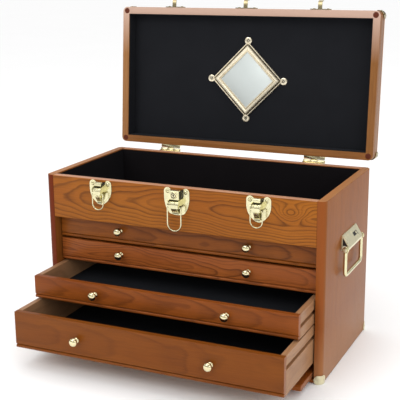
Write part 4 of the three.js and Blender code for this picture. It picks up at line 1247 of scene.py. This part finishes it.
def latches():
    """Three latches with their catches, and the lock in the middle one."""
    for side in LATCHES:
        latch_base(side)
        latch_lever(side)
        latch_loop(side)
        lid_catch(side)
    lock()


# ---------------- handles

BRACKET_DROP = 19.0        # from the bracket's top to the foot of its sloping face
BRACKET_HALF, BRACKET_SHEET = 40.0, 1.6
CURL_RADIUS, ROD_RADIUS, ROD_HEAD = 4.2, 2.4, 3.4
SLOT = (4.0, 25.0, 8.0, 14.5)  # along the bracket, then down its sloping face
RIVETS, RIVET_DROP = (-34, -19, 2, 34), 4.5
RIVET_HEAD = [(1.9, -0.4), (1.8, 0.3), (1.1, 0.75), (0, 0.85)]
STUD = (19, 11)            # along the bracket and down its face
STUD_HEAD = [(2.6, -0.4), (2.5, 0.7), (1.7, 1.1), (0, 1.2)]
BAIL_WIRE, BAIL_BEND = 3.2, 9.0
EYE_RING, EYE_WIRE, EYE_STEPS = 4.15, 1.42, 28


def handle_bracket(side, sign):
    """The folded bracket with its curl, rod and rivets, and dark sheets of painted shade in its slot and under its
    sloping face.
    """
    node = f"handle_{side}_bracket"
    rod = joint_point(f"{side}_bail_hinge")
    low, high = node_box(node)
    wall, top, head = (low.x if sign > 0 else high.x), high.z, high.y
    reach = abs(rod.x - wall) + CURL_RADIUS - 0.4
    foot = top - BRACKET_DROP
    t = BRACKET_SHEET
    slope = Vector((sign * (reach - t), 0, -BRACKET_DROP)).normalized()
    out = Vector((abs(slope.z) * sign, 0, abs(slope.x)))

    def at(reach_out, z):
        return (wall + sign * reach_out, z)

    def on_face(y, down):
        return Vector((wall + sign * t, y, top)) + slope * down

    outline = [at(0, top), at(t, top), at(reach, foot), at(reach - 1.2 * t, foot),
               at(t, top - 2.4 * t), at(t, rod.z - 4), at(0, rod.z - 4)]
    bm = bmesh.new()
    add_prism(bm, outline, along_y, -BRACKET_HALF, BRACKET_HALF)
    curl = [(CURL_RADIUS - 0.4, 0), (CURL_RADIUS, 0.4)]
    add_turned(bm, mirrored(curl, 2 * BRACKET_HALF), (rod.x, -BRACKET_HALF, rod.z),
               (0, 1, 0), 24)
    pin = [(2.6, 0), (ROD_HEAD, 0.4), (ROD_HEAD, 1.4), (ROD_RADIUS, 1.41)]
    add_turned(bm, mirrored(pin, 2 * head), (rod.x, -head, rod.z), (0, 1, 0), 20)
    for y in RIVETS:
        add_turned(bm, RIVET_HEAD, on_face(y, RIVET_DROP), out, 16)
    add_turned(bm, STUD_HEAD, on_face(*STUD), out, 20)
    make(node + "_folded", bm, CREAM_BRASS, "case", [node], bevel=0.3, angle=40)
    # Painted shade: a dark sheet in the slot and a dark block in the hollow under the sloping face.
    bm = bmesh.new()
    edges = [on_face(0, SLOT[2]), on_face(0, SLOT[3])]
    slot = [(edge + out * 0.12).xz for edge in edges]
    slot += [(edge - out * 0.5).xz for edge in reversed(edges)]
    add_prism(bm, slot, along_y, *SLOT[:2])
    hollow = [at(t + 0.1, top - 3.2 * t), at(t + 0.1, foot + 1), at(reach - 2.4 * t, foot + 1)]
    add_prism(bm, hollow, along_y, 1 - BRACKET_HALF, BRACKET_HALF - 1)
    make(f"handle_{side}_hollow", bm, DARK, "case")


def handle_bail(side):
    """The bail that hangs from the bracket's rod by its two eyes."""
    node = f"handle_{side}_bail"
    rod = joint_point(f"{side}_bail_hinge")
    low, high = node_box(node)
    half, grip = high.y - BAIL_WIRE, low.z + BAIL_WIRE
    start = rod.z - EYE_RING - 0.25
    line = bent([(rod.x, -half, start), (rod.x, -half, grip), (rod.x, half, grip),
                 (rod.x, half, start)], BAIL_BEND, 8)
    bm = bmesh.new()
    add_tube(bm, line, BAIL_WIRE, 16)
    for y in (-half, half):
        ring = [(a, y, b) for a, b in arc(rod.x, rod.z, EYE_RING, 0, 360, EYE_STEPS)[:-1]]
        add_tube(bm, ring, EYE_WIRE, 10, closed=True)
    make(f"handle_{side}_grip", bm, PALE_BRASS, f"{side}_bail", [node], angle=60)


# ---------------- scene


def make_world():
    """White all round. What shiny surfaces reflect has dark and bright bands above the floor."""
    world = bpy.data.worlds.new("studio")
    scene.world = world
    world.use_nodes = True
    tree = world.node_tree
    tree.nodes.clear()
    tools = Shader.__new__(Shader)
    tools.tree = tree
    direction = tools.axes(tools.add("TexCoord", {}, out=0))
    height = tools.spread(direction[2], 0.0, 1.0)
    bands = tools.ramp(height, [(0.0, 0.75), (0.10, 0.18), (0.22, 0.10), (0.30, 0.9),
                                (0.52, 1.0), (0.60, 0.2), (0.78, 0.3), (0.86, 1.0)])
    glossy = tools.add("LightPath", {}, out=3)
    color = tools.mix(glossy, (1, 1, 1, 1), bands)
    background = tools.add("Background", {"Color": color, "Strength": 1.0})
    output = tree.nodes.new("ShaderNodeOutputWorld")
    tree.links.new(background, output.inputs[0])


def make_stage():
    """The floor, just under the base's caps."""
    floor_z = min(node_box(f"base_corner_front_{side}")[0].z for _, side in SIDES)
    bm = bmesh.new()
    bmesh.ops.create_grid(bm, x_segments=8, y_segments=8, size=30)
    mesh = bpy.data.meshes.new("studio_floor")
    bm.to_mesh(mesh)
    bm.free()
    mesh.materials.append(floor_material())
    floor = bpy.data.objects.new("studio_floor", mesh)
    floor.location.z = floor_z * MM - 0.0002
    scene.collection.objects.link(floor)


scene.view_settings.view_transform = "Standard"
make_camera()
make_world()
make_stage()
make_light("key", (-0.9, -2.3, 2.2), (0, 0, 0.2), (1.6, 1.2), 20)
make_light("fill", (2.4, -1.5, 1.2), (0.1, 0, 0.2), (1.4, 1.4), 10)
make_light("top", (0.1, 0.1, 2.4), (0, 0, 0.2), (1.6, 1.6), 12)

case_boards()
board("lid_panel", X, Z, HONEY, 31, LID, figure=0.55, ring=7, depth=45, slope=0.06)
lid_rim()
drawer_pieces()
linings()
dowel_plugs()
mirror()
hinges()
corners()
latches()
for sign, side in SIDES:
    handle_bracket(side, sign)
    handle_bail(side)
